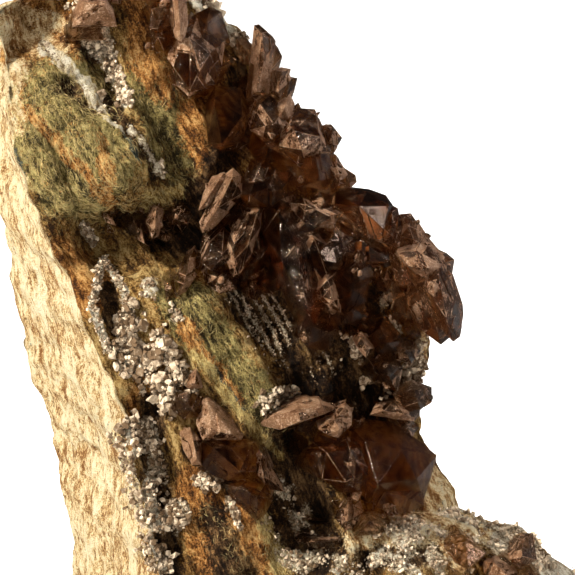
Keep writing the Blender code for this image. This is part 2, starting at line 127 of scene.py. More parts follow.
@dataclass(frozen=True)
class Noise:
    """Seeded random values that depend only on place, so every run gives the same ones."""

    seed: int

    def hashed(self, x: Array, y: Array, z: Array) -> Array:
        """A value for each whole-number place: its numbers mixed by multiply and shift.

        Args:
            x, y, z: the whole numbers.

        Returns:
            Values from 0 to 1.
        """
        mixed = (x * 73856093) ^ (y * 19349663) ^ (z * 83492791) ^ (self.seed * 2654435761)
        mixed = (mixed ^ (mixed >> 13)) * 1274126177
        mixed ^= mixed >> 16
        return (mixed & 0xFFFFFF) / 0xFFFFFF

    def smooth(self, points: Array) -> Array:
        """Value noise from -1 to 1: eight lattice corners blended by the S-shaped curve.

        Args:
            points: places, in lattice steps.

        Returns:
            One value for each point.
        """
        base = np.floor(points).astype(np.int64)
        part = points - base
        part = part * part * (3.0 - 2.0 * part)
        total = np.zeros(points.shape[:-1])
        for corner in itertools.product((0, 1), repeat=3):
            share = np.prod(np.where(np.array(corner, bool), part, 1.0 - part), axis=-1)
            total += share * self.hashed(*np.moveaxis(base + np.array(corner), -1, 0))
        return total * 2.0 - 1.0

    def fractal(self, points: Array, size: float, octaves: int = 4) -> Array:
        """Noise of several sizes added up, each half as large and half as strong as the last.

        Args:
            points: places in millimetres.
            size: size of the largest bumps in millimetres.
            octaves: how many sizes are added.

        Returns:
            Values from about -1 to 1.
        """
        total = np.zeros(points.shape[:-1])
        for octave in range(octaves):
            total += self.smooth(points * 2.0**octave / size + 17.3 * octave) / 2.0**octave
        return total / (2.0 - 2.0 ** (1 - octaves))

    def cells(self, points: Array, size: float) -> tuple[Array, Array, Array]:
        """Distances to the two nearest of seeds strewn one to each cell of a lattice.

        Args:
            points: places in millimetres.
            size: side of a cell in millimetres.

        Returns:
            The two distances in cells, and a random number of the nearest seed.
        """
        scaled = points / size
        base = np.floor(scaled).astype(np.int64)
        nearest = np.full(points.shape[:-1], 9.0)
        second = nearest.copy()
        owner = np.zeros(points.shape[:-1])
        for shift in itertools.product((-1, 0, 1), repeat=3):
            cell = np.moveaxis(base + np.array(shift), -1, 0)
            jitter = [Noise(self.seed + k).hashed(*cell) for k in (1, 2, 3)]
            seeds = np.stack([cell[k] + jitter[k] for k in range(3)], axis=-1)
            distance = np.linalg.norm(scaled - seeds, axis=-1)
            closer = distance < nearest
            second = np.where(closer, nearest, np.minimum(second, distance))
            owner = np.where(closer, self.hashed(*cell), owner)
            nearest = np.where(closer, distance, nearest)
        return nearest, second, owner


@dataclass(frozen=True)
class Band:
    """A stripe or patch of the face: everything near a line through points of the photograph."""

    path: Points
    start_width: float
    end_width: float
    softness: float = 0.35

    def weight(self, u: Array, v: Array) -> Array:
        """How much each place belongs to the band.

        The distance to the nearest stretch of the line, over the half width there, falls from full to
        nothing round 1, over the given softness.

        Args:
            u: places across the slab.
            v: places up the slab.

        Returns:
            Weights from 0 to 1.
        """
        ends = np.array([at(*spot) for spot in self.path])
        if len(ends) == 1:
            ends = np.repeat(ends, 2, axis=0)
        count = len(ends) - 1
        nearest = np.full(u.shape, 1e9)
        for k in range(count):
            start, step = ends[k], ends[k + 1] - ends[k]
            length = max(float(step @ step), 1e-9)
            along = np.clip(((u - start[0]) * step[0] + (v - start[1]) * step[1]) / length, 0.0, 1.0)
            away = np.hypot(u - start[0] - along * step[0], v - start[1] - along * step[1])
            share = (k + along) / count
            half = (self.start_width * (1.0 - share) + self.end_width * share) / PIXELS_PER_MM
            nearest = np.minimum(nearest, away / half)
        return 1.0 - smooth_step(1.0 - self.softness, 1.0 + self.softness, nearest)


class Side(Enum):
    """Sides of the slab. The value is the number that marks their points."""

    FACE = 0
    RIGHT = 1
    BACK = 2
    BROKEN = 3


class Zone(Enum):
    """What the surface is made of at a place. The value is the name of the mesh attribute."""

    CREAM = "cream"
    GREEN = "green"
    RUST = "rust"
    # Dark rock; where its bands lie in gaps and hollows among the crystals they are painted shade as well.
    DARK = "dark"
    WHITE = "white"
    MATTED = "matted"
    GOLD = "gold"
    BLUE = "blue"
    GRITTY = "gritty"


# Where each kind of surface shows on the face, widths in pixels of the photograph. Some dark bands lie in
# gaps and hollows and paint shade there over dark rock.
ZONES: dict[Zone, tuple[Band, ...]] = {
    Zone.GREEN: (
        Band(((62, 118), (80, 160)), 56, 52, 0.5),
        Band(((150, 80), (178, 160)), 16, 22, 0.8),
        Band(((182, 300), (215, 345), (248, 390), (272, 432)), 24, 15),
        Band(((206, 512), (240, 560), (262, 640)), 9, 14, 0.8),
        Band(((20, 150), (26, 200)), 9, 8),
    ),
    Zone.RUST: (
        Band(((135, -20), (148, 60), (160, 90)), 16, 12, 0.8),
        Band(((190, 110), (202, 172)), 12, 10, 0.8),
        Band(((8, 30), (14, 120)), 16, 12, 0.8),
        Band(((58, 258), (92, 292)), 22, 22, 0.7),
        Band(((130, 440), (150, 380)), 10, 12, 0.8),
        Band(((205, 500), (240, 545), (272, 640)), 34, 46),
        Band(((-10, 20), (36, 26), (70, 30)), 34, 24, 0.8),
        Band(((182, 318), (236, 402)), 6, 6, 0.8),
        Band(((104, 140), (112, 190)), 5, 5, 0.8),
        Band(((30, 112), (120, 210)), 6, 6, 0.8),
    ),
    Zone.DARK: (
        Band(((84, 30), (96, 60)), 8, 7, 0.7),
        Band(((106, 100), (132, 128), (160, 172)), 8, 7, 0.7),
        Band(((66, 90), (105, 112)), 9, 8, 0.9),
        # Dark rock and painted shade in the cavity below the block.
        Band(((122, 214), (158, 236), (196, 242)), 9, 20, 0.8),
        Band(((196, 206), (226, 160), (244, 120), (250, 60)), 24, 14, 0.7),
        Band(((108, 290), (112, 326)), 9, 9),
        Band(((156, 400), (150, 440), (162, 510), (178, 640)), 12, 14, 0.8),
        Band(((240, 300), (285, 345), (316, 396)), 14, 16, 0.8),
        Band(((340, 300), (350, 380), (372, 400)), 46, 34, 0.7),
        # Dark rock and painted shade in the gap below the lamina.
        Band(((280, 436), (300, 500), (308, 548)), 24, 36, 0.6),
        # Dark rock and painted shade in the gaps between the middle crystals.
        Band(((215, 195), (270, 230), (320, 300)), 34, 56, 0.8),
        Band(((340, 210), (400, 250)), 20, 26, 0.8),
        Band(((372, 560), (430, 556)), 14, 10, 0.8),
        Band(((205, 452), (232, 490)), 14, 10, 0.7),
        Band(((214, 520), (246, 600)), 16, 24, 0.95),
    ),
    Zone.WHITE: (
        Band(((44, 46), (62, 62), (84, 84), (104, 112)), 8, 4.5, 0.2),
        Band(((104, 112), (124, 132)), 3.2, 2.2, 0.3),
        Band(((132, 128), (146, 146), (164, 176)), 3.6, 2.6, 0.3),
        Band(((186, -12), (214, 14), (238, 40)), 8, 5),
        Band(((500, 545), (545, 566), (600, 606)), 12, 20, 0.8),
    ),
    Zone.MATTED: (
        Band(((58, 112), (84, 168)), 58, 54),
        Band(((60, 205), (130, 205)), 12, 8, 0.6),
    ),
    Zone.CREAM: (
        Band(((0, 26), (36, 40), (60, 48)), 18, 8, 0.9),
        Band(((-6, 10), (24, 14), (56, 20)), 10, 8, 0.9),
        Band(((434, 470), (438, 500), (440, 520)), 18, 20, 0.9),
        Band(((360, 552), (400, 536), (446, 552)), 22, 22, 0.9),
        Band(((440, 528), (490, 524), (545, 556), (600, 596)), 22, 24, 0.9),
        Band(((424, 336), (428, 380)), 9, 8, 0.8),
        Band(((14, 70), (20, 130)), 12, 8, 0.9),
        Band(((20, 180), (60, 300), (110, 420)), 8, 8, 0.9),
    ),
    Zone.GOLD: (
        Band(((198, 352), (232, 402), (262, 438), (284, 458)), 5, 4, 0.7),
        Band(((258, 505), (285, 575)), 6, 9, 0.9),
        Band(((150, 200), (180, 190)), 8, 8, 0.9),
    ),
    Zone.BLUE: (
        Band(((20, 148), (26, 180), (34, 208)), 2.4, 2.4, 0.9),
        Band(((112, 112), (128, 136), (136, 160)), 4, 3, 0.9),
        Band(((212, 368), (240, 410)), 4, 4, 0.95),
    ),
}


# Patches of the sides that the photograph doesn't show, as (zone, seed, size in mm, where the noise
# starts to count, full weight).
HIDDEN_PATCHES: tuple[tuple[Zone, int, float, float, float], ...] = (
    (Zone.GREEN, 31, 14.0, 0.0, 0.85),
    (Zone.RUST, 32, 9.0, 0.1, 0.8),
    (Zone.WHITE, 33, 11.0, 0.3, 1.0),
    (Zone.DARK, 34, 10.0, 0.3, 0.8),
)


@dataclass(frozen=True)
class Relief:
    """A lump or a hollow on the face: an oval of the given half lengths, turned by turn degrees."""

    centre: Point
    half: Point
    turn: float
    height: float
    steepness: float

    def at(self, u: Array, v: Array) -> Array:
        """Height of the relief: full inside the oval, falling off outside as distance to a power.

        Args:
            u: places across the slab.
            v: places up the slab.

        Returns:
            Heights in millimetres.
        """
        turn = radians(self.turn)
        du, dv = u - self.centre[0], v - self.centre[1]
        along = (du * cos(turn) + dv * sin(turn)) / self.half[0]
        across = (dv * cos(turn) - du * sin(turn)) / self.half[1]
        return self.height / (1.0 + np.hypot(along, across) ** self.steepness)


# The large lumps and hollows of the solid rock.
FACE_RELIEF: dict[str, Relief] = {
    "green block": Relief((-26.9, 63.4), (8.8, 7.6), -10, 3.4, 10),
    "hollow in the block": Relief((-25.6, 69.6), (3.6, 1.9), -25, -2.2, 4),
    "top ledge": Relief((-36.0, 79.5), (8.0, 4.6), 0, -4.0, 8),
    "black groove": Relief((-24.4, 74.5), (6.8, 1.9), -65, -3.4, 4),
    "cavity below the block": Relief((-20.6, 51.6), (9.0, 4.4), -10, -5.2, 6),
    "raised lamina": Relief((-8.6, 36.0), (12.4, 3.2), -61, 2.2, 8),
    "grain trough": Relief((-18.2, 22.0), (13.5, 3.0), -82, -2.4, 6),
    "seat of the lower left crystals": Relief((-11.2, 27.0), (3.2, 5.6), -10, -2.0, 5),
    "gap below the lamina": Relief((-1.0, 18.9), (4.2, 7.6), -10, -4.2, 4),
    "gap in the crystals": Relief((-4.6, 45.8), (2.6, 6.2), 8, -3.6, 4),
    "band at the foot": Relief((-8.0, 9.0), (4.4, 11.0), -12, 1.8, 8),
    "terrace at the foot": Relief((22.0, 10.5), (13.0, 5.0), -15, 2.6, 8),
    "pale lump": Relief((16.8, 21.0), (2.6, 3.4), 10, 2.4, 6),
}


@dataclass(frozen=True)
class Skin:
    """The rock's skin as a grid of points, with what the pieces on it need to know of each point."""

    points: Array
    outward: Array
    zones: dict[Zone, Array]
    relief: Array
    flow: Array

    def place(self, numbers: Array) -> tuple[Array, Array]:
        """Points of the given numbers and the ways out of the rock there."""
        return self.points.reshape(-1, 3)[numbers], self.outward.reshape(-1, 3)[numbers]

    def areas(self) -> Array:
        """Size of the surface round each point, from the steps to its neighbours, in square mm."""
        step, rise = np.roll(self.points, -1, axis=1) - self.points, np.gradient(self.points, axis=0)
        return np.linalg.norm(np.cross(step, rise), axis=-1)


def grid_normals(points: Array) -> Array:
    """The way out of a grid that closes round: cross product of its two directions.

    Args:
        points: grid points, in rows going up.

    Returns:
        A vector of length 1 for each point.
    """
    along = np.roll(points, -1, axis=1) - np.roll(points, 1, axis=1)
    up = np.empty_like(points)
    up[1:-1] = points[2:] - points[:-2]
    up[0], up[-1] = points[1] - points[0], points[-1] - points[-2]
    return unit(np.cross(along, up))


def show(made: Piece) -> Piece:
    """Puts the object in the scene."""
    bpy.context.scene.collection.objects.link(made)
    return made


def make_object(name: str, points: Array, faces: list[Any], material: Material) -> Piece:
    """A new mesh object with that material.

    Args:
        name: name of the piece.
        points: slab points in millimetres.
        faces: corner numbers of each face.
        material: finish of the piece.

    Returns:
        The object, at the origin.
    """
    mesh = bpy.data.meshes.new(name)
    mesh.from_pydata(stand(points), [], faces)
    mesh.materials.append(material)
    return show(bpy.data.objects.new(name, mesh))


def set_attribute(mesh: bpy.types.Mesh, name: str, values: Array, domain: str = "POINT") -> None:
    """Stores a number or a vector for each of the mesh's points or faces, by the domain."""
    kind, field = ("FLOAT_VECTOR", "vector") if values.ndim > 1 else ("FLOAT", "value")
    mesh.attributes.new(name, kind, domain).data.foreach_set(field, values.astype(np.float32).ravel())


def fit_in(piece: Piece, body: str, finish: str, *nodes: str) -> None:
    """Lets the piece ride on the body in place of the nodes.

    Args:
        piece: what is dressed on.
        body: the solid's name.
        finish: not used.
        nodes: the solids that it stands for, if any.
    """
    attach(piece, body)
    if nodes:
        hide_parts(*nodes)


@dataclass(frozen=True)
class Slab:
    """The leaning slab of layered rock: its outlines, its large relief and the fine relief of each zone."""

    top: float = 90.0
    rows: int = 300
    cap_rings: int = 8
    # Columns over the five strips of the face, the right side, the back, its corner and the broken side.
    columns: tuple[int, ...] = (20, 32, 48, 44, 24, 22, 44, 10, 48)
    sides: tuple[Side, ...] = (*(5 * (Side.FACE,)), Side.RIGHT, Side.BACK, Side.BACK, Side.BROKEN)
    left_outline: Points = (
        (0, -28.8), (10, -29.3), (19.5, -29.8), (25.8, -31.0), (29, -32.3), (34, -33.8), (36.5, -35.0),
        (42, -36.0), (49.5, -36.8), (53, -37.5), (63, -39.0), (74.5, -39.2), (80.5, -38.4), (83, -34.5),
        (86, -29.5), (90, -23.5),
    )
    ridge: Points = (
        (0, -16.0), (10, -17.8), (16, -19.0), (22, -20.1), (29, -21.6), (34.5, -23.6), (40.8, -26.3),
        (45.8, -28.0), (50.8, -30.6), (56.4, -32.8), (63.5, -35.0), (74.5, -37.3), (80.5, -37.4),
        (83, -33.8), (86, -29.0), (90, -23.2),
    )
    right_outline: Points = (
        (0, 40.6), (10, 35.0), (12, 32.5), (15.8, 27.5), (17.2, 22.5), (18, 19.6), (21, 18.4),
        (24.5, 16.6), (28, 15.0), (32, 14.5), (35, 15.0), (40.5, 16.3), (44, 15.0), (49.5, 11.5),
        (59.5, 3.5), (68.3, -2.1), (72, -4.5), (78.3, -7.8), (82, -10.9), (85.8, -14.4), (90, -19.0),
    )
    ridge_depth: Points = ((0, 11.0), (30, 10.5), (60, 9.5), (80, 7.5), (86, 4.5), (90, 0.5))
    left_depth: Points = ((0, -12.0), (30, -12.0), (60, -10.0), (80, -8.0), (90, -3.0))
    back_depth: Points = (
        (0, -22.0), (12, -20.0), (40, -18.5), (65, -17.0), (80, -13.0), (87, -9.0), (90, -5.0),
    )
    # How far the face falls back from the ridge, as (share of the way to the right outline, fall).
    face_profile: Points = (
        (0.0, 0.6), (0.12, -0.5), (0.32, 0.9), (0.6, -1.5), (0.85, -6.5), (1.0, -13.0),
    )
    full_depth: float = 24.0
    back_inset_right: float = 7.0
    back_inset_left: float = 8.0
    layer_spacing: float = 6.8
    layer_step: float = 0.55
    layer_turn: float = radians(-63)
    broken_turn: float = radians(-84)
    # Seeds of the noise that makes the zones' edges ragged.
    ragged: tuple[int, int] = (21, 22)

    def skin(self) -> Skin:
        """The whole skin of the rock.

        Rows run up the slab and columns round it, straight between the edges of the cross-section. Each
        point then moves out by the large and fine relief of its place, and rings close the foot and the
        top.

        Returns:
            The finished skin.
        """
        plain, side = self.plain_grid()
        zones = self.zone_weights(plain, side)
        flow = self.flow_coordinates(plain, side)
        relief = self.fine_relief(plain, flow, zones)
        height = plain[..., 1]
        relief *= np.clip(height / 3.0, 0.0, 1.0) * np.clip((self.top + 1.0 - height) / 6.0, 0.0, 1.0)
        points = self.with_ends(plain + grid_normals(plain) * relief[..., None])
        pad = ((self.cap_rings, self.cap_rings), (0, 0))
        zones = {zone: np.pad(weight, pad, mode="edge") for zone, weight in zones.items()}
        relief, side = np.pad(relief, pad, mode="edge"), np.pad(side, pad, mode="edge")
        return Skin(points, grid_normals(points), zones, relief, self.flow_coordinates(points, side))

    def edges_at(self, v: Array) -> list[tuple[Array, Array]]:
        """Edges of the slab's cross-section at each height.

        Args:
            v: heights along the slab.

        Returns:
            Pairs (u, w), in order round the section.
        """
        ridge, right = table(self.ridge, v), table(self.right_outline, v)
        left, ridge_depth = table(self.left_outline, v), table(self.ridge_depth, v)
        back = table(self.back_depth, v)
        width = right - left
        thinning = np.clip((ridge_depth - back) / self.full_depth, 0.0, 1.0)
        face = [
            (ridge + share * (right - ridge), ridge_depth + fall * thinning)
            for share, fall in self.face_profile
        ]
        back_right = (right - np.minimum(self.back_inset_right, 0.3 * width), back + 1.5)
        back_left = (left + np.minimum(self.back_inset_left, 0.3 * width), back)
        return [*face, back_right, back_left, (left, table(self.left_depth, v))]

    def lumps(self, u: Array, v: Array, w: Array) -> Array:
        """Gentle unevenness of broken rock: crossing waves of 6 to 14 mm.

        Args:
            u, v, w: slab points.

        Returns:
            Heights under 1 mm.
        """
        broad = np.sin(0.46 * u + 0.9 * np.sin(0.19 * v + 0.7)) * np.sin(0.37 * v + 0.31 * w + 0.8)
        swirl = 0.61 * v + 0.83 * w + 1.9 + 0.5 * np.sin(0.5 * u)
        return 0.55 * broad + 0.35 * np.sin(0.95 * u - 0.52 * v + 0.4) * np.sin(swirl)

    def layers(self, u: Array, v: Array) -> Array:
        """Saw-toothed steps of the layered rock, each rising gently and breaking off at a long edge.

        Args:
            u, v: places on the slab.

        Returns:
            Heights in millimetres.
        """
        across = v * cos(self.layer_turn) - u * sin(self.layer_turn) + 1.2 * np.sin(0.17 * v + 0.6)
        phase = (across / self.layer_spacing) % 1.0
        return self.layer_step * (np.minimum(phase, 5.0 * (1.0 - phase)) * 2.0 - 1.0)

    def plain_grid(self) -> tuple[Array, Array]:
        """The slab with its large relief only.

        Returns:
            (u, v, w) of each grid point, and the number of its side.
        """
        share_up = np.linspace(0.0, 1.0, self.rows)[:, None]
        parts: list[Array] = []
        foot_depth = [edge[1] for edge in self.edges_at(np.zeros(1))]
        for k, count in enumerate(self.columns):
            following = (k + 1) % len(self.columns)
            mix = np.arange(count) / count
            depth = foot_depth[k] * (1 - mix) + foot_depth[following] * mix
            start = -depth * tan(LEAN_BACK)
            v = start + share_up * (self.top - start)
            edges = self.edges_at(v)
            u = edges[k][0] * (1 - mix) + edges[following][0] * mix
            w = edges[k][1] * (1 - mix) + edges[following][1] * mix
            parts.append(np.stack([u, v, w], axis=-1))
        points = np.concatenate(parts, axis=1)
        side = np.repeat([part.value for part in self.sides], self.columns)
        return self.with_large_relief(points), np.broadcast_to(side, points.shape[:2])

    def with_large_relief(self, points: Array) -> Array:
        """Moves the points out by the waves and steps, and by the face's lumps and hollows.

        Args:
            points: the plain grid.

        Returns:
            The moved grid.
        """
        u, v, w = np.moveaxis(points, -1, 0)
        du = np.roll(u, -1, axis=1) - np.roll(u, 1, axis=1)
        dw = np.roll(w, -1, axis=1) - np.roll(w, 1, axis=1)
        length = np.maximum(np.hypot(du, dw), 1e-6)
        above_foot = np.clip(v / 6.0, 0.0, 1.0)
        rise = (self.lumps(u, v, w) + self.layers(u, v)) * above_foot
        rise *= np.clip((self.top + 2.0 - v) / 10.0, 0.0, 1.0)
        face = sum(self.columns[:5])
        across = np.linspace(0.0, 1.0, face)
        face_only = np.minimum(1.0, 8.0 * np.minimum(across + 0.04, 1.0 - across))
        relief = sum(part.at(u[:, :face], v[:, :face]) for part in FACE_RELIEF.values())
        moved = np.stack([u - dw / length * rise, v, w + du / length * rise], axis=-1)
        moved[:, :face, 2] += relief * face_only * above_foot[:, :face]
        return moved

    def zone_weights(self, points: Array, side: Array) -> dict[Zone, Array]:
        """How much each zone has of each point, with ragged edges from noise.

        Args:
            points: grid points.
            side: number of each point's side.

        Returns:
            A weight from 0 to 1 for each zone and point.
        """
        push = [
            0.9 * Noise(seed).fractal(points, 3.5) + 0.5 * Noise(seed).fractal(points, 0.9, 2)
            for seed in self.ragged
        ]
        u, v = points[..., 0] + push[0], points[..., 1] + push[1]
        face = side == Side.FACE.value
        weights = {
            zone: face * np.maximum.reduce([band.weight(u, v) for band in bands])
            for zone, bands in ZONES.items()
        }
        flow = self.flow_coordinates(points, side)
        gritty = [patch.weight(points, flow) for patch in GRAIN_PATCHES]
        weights[Zone.GRITTY] = face * np.maximum.reduce(gritty)
        weights[Zone.CREAM] = np.where(side == Side.BROKEN.value, 1.0, weights[Zone.CREAM])
        hidden = (side == Side.BACK.value) | (side == Side.RIGHT.value)
        for zone, seed, size, start, most in HIDDEN_PATCHES:
            patch = most * smooth_step(start, start + 0.25, Noise(seed).fractal(points, size))
            weights[zone] = np.where(hidden, patch, weights[zone])
        return weights

    def flow_coordinates(self, points: Array, side: Array) -> Array:
        """Place of each point along the rock's grain, across it, and through it.

        The grain runs with the layers, bending a little, and nearly up the slab on the broken side.

        Args:
            points: grid points.
            side: number of each point's side.

        Returns:
            (along, across, through) in millimetres for each point.
        """
        turn = np.where(side == Side.BROKEN.value, self.broken_turn, self.layer_turn)
        u, v, w = np.moveaxis(points, -1, 0)
        bend = 1.6 * np.sin(0.11 * v + 0.5) + 0.6 * np.sin(0.31 * u + 0.23 * v)
        along = u * np.cos(turn) + v * np.sin(turn)
        across = v * np.cos(turn) - u * np.sin(turn) + bend
        return np.stack([along, across, w], axis=-1)

    def fine_relief(self, points: Array, flow: Array, zones: dict[Zone, Array]) -> Array:
        """Height of the fine relief: fibres and ledges everywhere, and each zone's own bumps.

        Fibres are noise drawn out along the layers, and ledges are coarse noise cut into flat steps.
        Matted rock has clumps, crusts have grains, dark seams are sunk, and the broken side has streaks
        and pits.

        Args:
            points: grid points.
            flow: place along and across the layers.
            zones: weight of each zone.

        Returns:
            Heights in millimetres.
        """
        field = Noise(11).fractal(flow * (0.3, 1.0, 1.0), 6.0, 3) * 3.2
        ledges = np.floor(field) + smooth_step(0.72, 0.98, field - np.floor(field))
        fibres = 0.30 * Noise(12).fractal(flow * (0.2, 1.0, 1.0), 1.7, 3)
        nearest, _, owner = Noise(13).cells(flow * (0.55, 1.0, 1.0), 0.85)
        crumbs = 0.26 * (0.7 - nearest**2) + 0.2 * owner
        rise = 0.42 * ledges + fibres + crumbs
        nearest, _, _ = Noise(14).cells(points, 2.6)
        clumps = 0.55 * (0.8 - nearest**2) + crumbs + 0.25 * Noise(15).fractal(points, 1.4, 3)
        rise += zones[Zone.MATTED] * (clumps - 0.8 * rise)
        rise += zones[Zone.WHITE] * (0.5 + 0.6 * crumbs - 0.8 * rise)
        rough = 0.8 * Noise(43).fractal(points, 1.8, 3) + 0.8 * crumbs - 0.7
        rise += zones[Zone.DARK] * (rough - 0.5 * rise)
        nearest, _, owner = Noise(41).cells(points, 0.9)
        grit = 0.45 * (0.75 - nearest**2) + 0.45 * owner - 0.1
        rise += 0.8 * zones[Zone.GRITTY] * (grit - 0.5 * rise)
        nearest, _, owner = Noise(47).cells(flow * (0.45, 1.0, 1.0), 2.6)
        pits = np.where(owner > 0.6, smooth_step(0.42, 0.1, nearest), 0.0)
        streaks = 0.45 * Noise(48).fractal(flow * (0.16, 1.0, 1.0), 2.2, 4) - 0.55 * pits + 0.5 * crumbs
        return rise + zones[Zone.CREAM] * (streaks - 0.7 * rise)

    def with_ends(self, points: Array) -> Array:
        """Adds the rings that close the foot and round the top over.

        Args:
            points: grid points of the sides.

        Returns:
            The grid with the rings' rows.
        """
        shares = (np.arange(1, self.cap_rings + 1) / (self.cap_rings + 0.5))[:, None, None]
        middle, peak = points[0].mean(axis=0), points[-1].mean(axis=0)
        foot = points[0] + (middle - points[0]) * shares
        crown = points[-1] + (peak - points[-1]) * shares
        crown[..., 1] += 0.5 * np.sin(shares[..., 0] * pi / 2)
        return np.concatenate([foot[::-1], points, crown])

    def build(self, skin: Skin, material: Material) -> Piece:
        """The rock as one closed piece, in place of the solid rock.

        Args:
            skin: the finished skin.
            material: finish of the rock.

        Returns:
            The piece.
        """
        rows, columns = skin.points.shape[:2]
        index = np.arange(rows * columns).reshape(rows, columns)
        beside = np.roll(index, -1, axis=1)
        quads = np.stack([index[:-1], beside[:-1], beside[1:], index[1:]], axis=-1).reshape(-1, 4)
        foot, crown = rows * columns, rows * columns + 1
        fans = [(foot, b, a) for a, b in zip(index[0].tolist(), beside[0].tolist())]
        fans += [(a, b, crown) for a, b in zip(index[-1].tolist(), beside[-1].tolist())]
        ends = np.stack([skin.points[0].mean(axis=0), skin.points[-1].mean(axis=0)])
        points = np.concatenate([skin.points.reshape(-1, 3), ends])
        rock = make_object("rock", points, quads.tolist() + fans, material)
        self.flatten_foot(rock.data)
        for zone, weight in skin.zones.items():
            set_attribute(rock.data, zone.value, np.append(weight.ravel(), weight[(0, -1), 0]))
        set_attribute(rock.data, "relief", np.append(skin.relief.ravel(), (0.0, 0.0)))
        flow = skin.flow.reshape(-1, 3)
        set_attribute(rock.data, "flow", np.concatenate([flow, flow[(0, -1), :]]))
        rock.data.shade_smooth()
        fit_in(rock, "root", "schist", "matrix")
        return rock

    def flatten_foot(self, mesh: bpy.types.Mesh) -> None:
        """Puts the rings of the foot, and anything lower, on the floor.

        Args:
            mesh: the rock's mesh.
        """
        points = np.empty(len(mesh.vertices) * 3, np.float32)
        mesh.vertices.foreach_get("co", points)
        points = points.reshape(-1, 3)
        foot = (self.cap_rings + 1) * sum(self.columns)
        points[:foot, 2] = 0.0
        points[-2, 2] = 0.0
        points[:, 2] = np.maximum(points[:, 2], 0.0)
        mesh.vertices.foreach_set("co", points.ravel())


class Nodes:
    """Adds and joins the nodes of one material, or of the world."""

    def __init__(self, owner: Material | bpy.types.World) -> None:
        """Starts with none of its nodes.

        Args:
            owner: the material or the world.
        """
        self.owner = owner
        owner.use_nodes = True
        self.tree = owner.node_tree
        self.tree.nodes.clear()

    def add(self, kind: str, inputs: dict[Any, Any] | None = None, **settings: Any) -> bpy.types.Node:
        """Adds a node.

        Args:
            kind: type of the node.
            inputs: a value or another node's output for each.
            settings: the node's properties.

        Returns:
            The node.
        """
        node = self.tree.nodes.new(kind)
        for name, value in settings.items():
            setattr(node, name, value)
        for key, value in (inputs or {}).items():
            if isinstance(value, bpy.types.NodeSocket):
                self.tree.links.new(value, node.inputs[key])
            else:
                node.inputs[key].default_value = value
        return node

    def number(self, name: str) -> Any:
        """A number stored on the mesh."""
        return self.add("ShaderNodeAttribute", attribute_name=name).outputs["Fac"]

    def vector(self, name: str) -> Any:
        """A vector stored on the mesh."""
        return self.add("ShaderNodeAttribute", attribute_name=name).outputs["Vector"]

    def place(self) -> Any:
        """Object coordinates in millimetres."""
        source = self.add("ShaderNodeTexCoord").outputs["Object"]
        return self.vectors("MULTIPLY", source, (1.0 / MM,) * 3)

    def vectors(self, operation: str, first: Any, second: Any) -> Any:
        """Vector arithmetic on two vectors."""
        return self.add("ShaderNodeVectorMath", {0: first, 1: second}, operation=operation).outputs[0]

    def dot(self, first: Any, second: Any) -> Any:
        """Dot product of two vectors."""
        node = self.add("ShaderNodeVectorMath", {0: first, 1: second}, operation="DOT_PRODUCT")
        return node.outputs["Value"]

    def math(self, operation: str, first: Any, second: Any) -> Any:
        """Arithmetic on two numbers."""
        return self.add("ShaderNodeMath", {0: first, 1: second}, operation=operation).outputs[0]

    def scaled(self, source: Any, gain: float) -> Any:
        """A number times a gain."""
        return self.math("MULTIPLY", source, gain)

    def swing(self, source: Any, gain: float) -> Any:
        """How far a pattern is above or below its middle, times a gain."""
        return self.scaled(self.math("SUBTRACT", source, 0.5), gain)

    def swung(self, total: Any, *parts: tuple[Any, float]) -> Any:
        """A number with the swings of patterns added to it.

        Args:
            total: the number.
            parts: a pattern and its gain each.

        Returns:
            The sum.
        """
        for part, gain in parts:
            total = self.math("ADD", total, self.swing(part, gain))
        return total

    def spread(self, source: Any, low: float, high: float, to_low: float = 0.0, to_high: float = 1.0) -> Any:
        """Carries the range from low to high over to another, along an S-shaped curve."""
        inputs = {"Value": source, "From Min": low, "From Max": high, "To Min": to_low, "To Max": to_high}
        return self.add("ShaderNodeMapRange", inputs, interpolation_type="SMOOTHSTEP").outputs[0]

    def noise(self, vector: Any, scale: float, detail: float = 4.0, roughness: float = 0.6) -> Any:
        """Noise from 0 to 1, scale being bumps per millimetre."""
        inputs = {"Vector": vector, "Scale": scale, "Detail": detail, "Roughness": roughness}
        return self.add("ShaderNodeTexNoise", inputs).outputs["Fac"]

    def ramp(self, source: Any, stops: Stops) -> Any:
        """Colours blended along a number.

        Args:
            source: the number.
            stops: places and colours.

        Returns:
            The colour.
        """
        node = self.add("ShaderNodeValToRGB", {0: source})
        ramp = node.color_ramp
        while len(ramp.elements) < len(stops):
            ramp.elements.new(0.5)
        for element, (place, colour) in zip(ramp.elements, stops):
            element.position = place
            element.color = (*colour, 1.0)
        return node.outputs["Color"]

    def blend(self, share: Any, first: Any, second: Any) -> Any:
        """Two colours blended by a share."""
        first, second = (v if isinstance(v, bpy.types.NodeSocket) else (*v, 1.0) for v in (first, second))
        return self.add("ShaderNodeMix", {0: share, 6: first, 7: second}, data_type="RGBA").outputs[2]

    def bump(self, height: Any, depth: float, normal: Any = None) -> Any:
        """A normal bent by a relief.

        Args:
            height: the relief, from 0 to 1.
            depth: its depth in millimetres.
            normal: another normal to start from.

        Returns:
            The bent normal.
        """
        inputs = {"Height": height, "Distance": depth * MM, "Strength": 1.0}
        if normal is not None:
            inputs["Normal"] = normal
        return self.add("ShaderNodeBump", inputs).outputs["Normal"]

    def surface(self, **inputs: Any) -> Material:
        """Ends the material in its shader.

        Args:
            inputs: the shader's, with low lines for the blanks in their names.

        Returns:
            The finished material.
        """
        named = {name.replace("_", " "): value for name, value in inputs.items()}
        shader = self.add("ShaderNodeBsdfPrincipled", named)
        self.add("ShaderNodeOutputMaterial", {"Surface": shader.outputs[0]})
        return self.owner


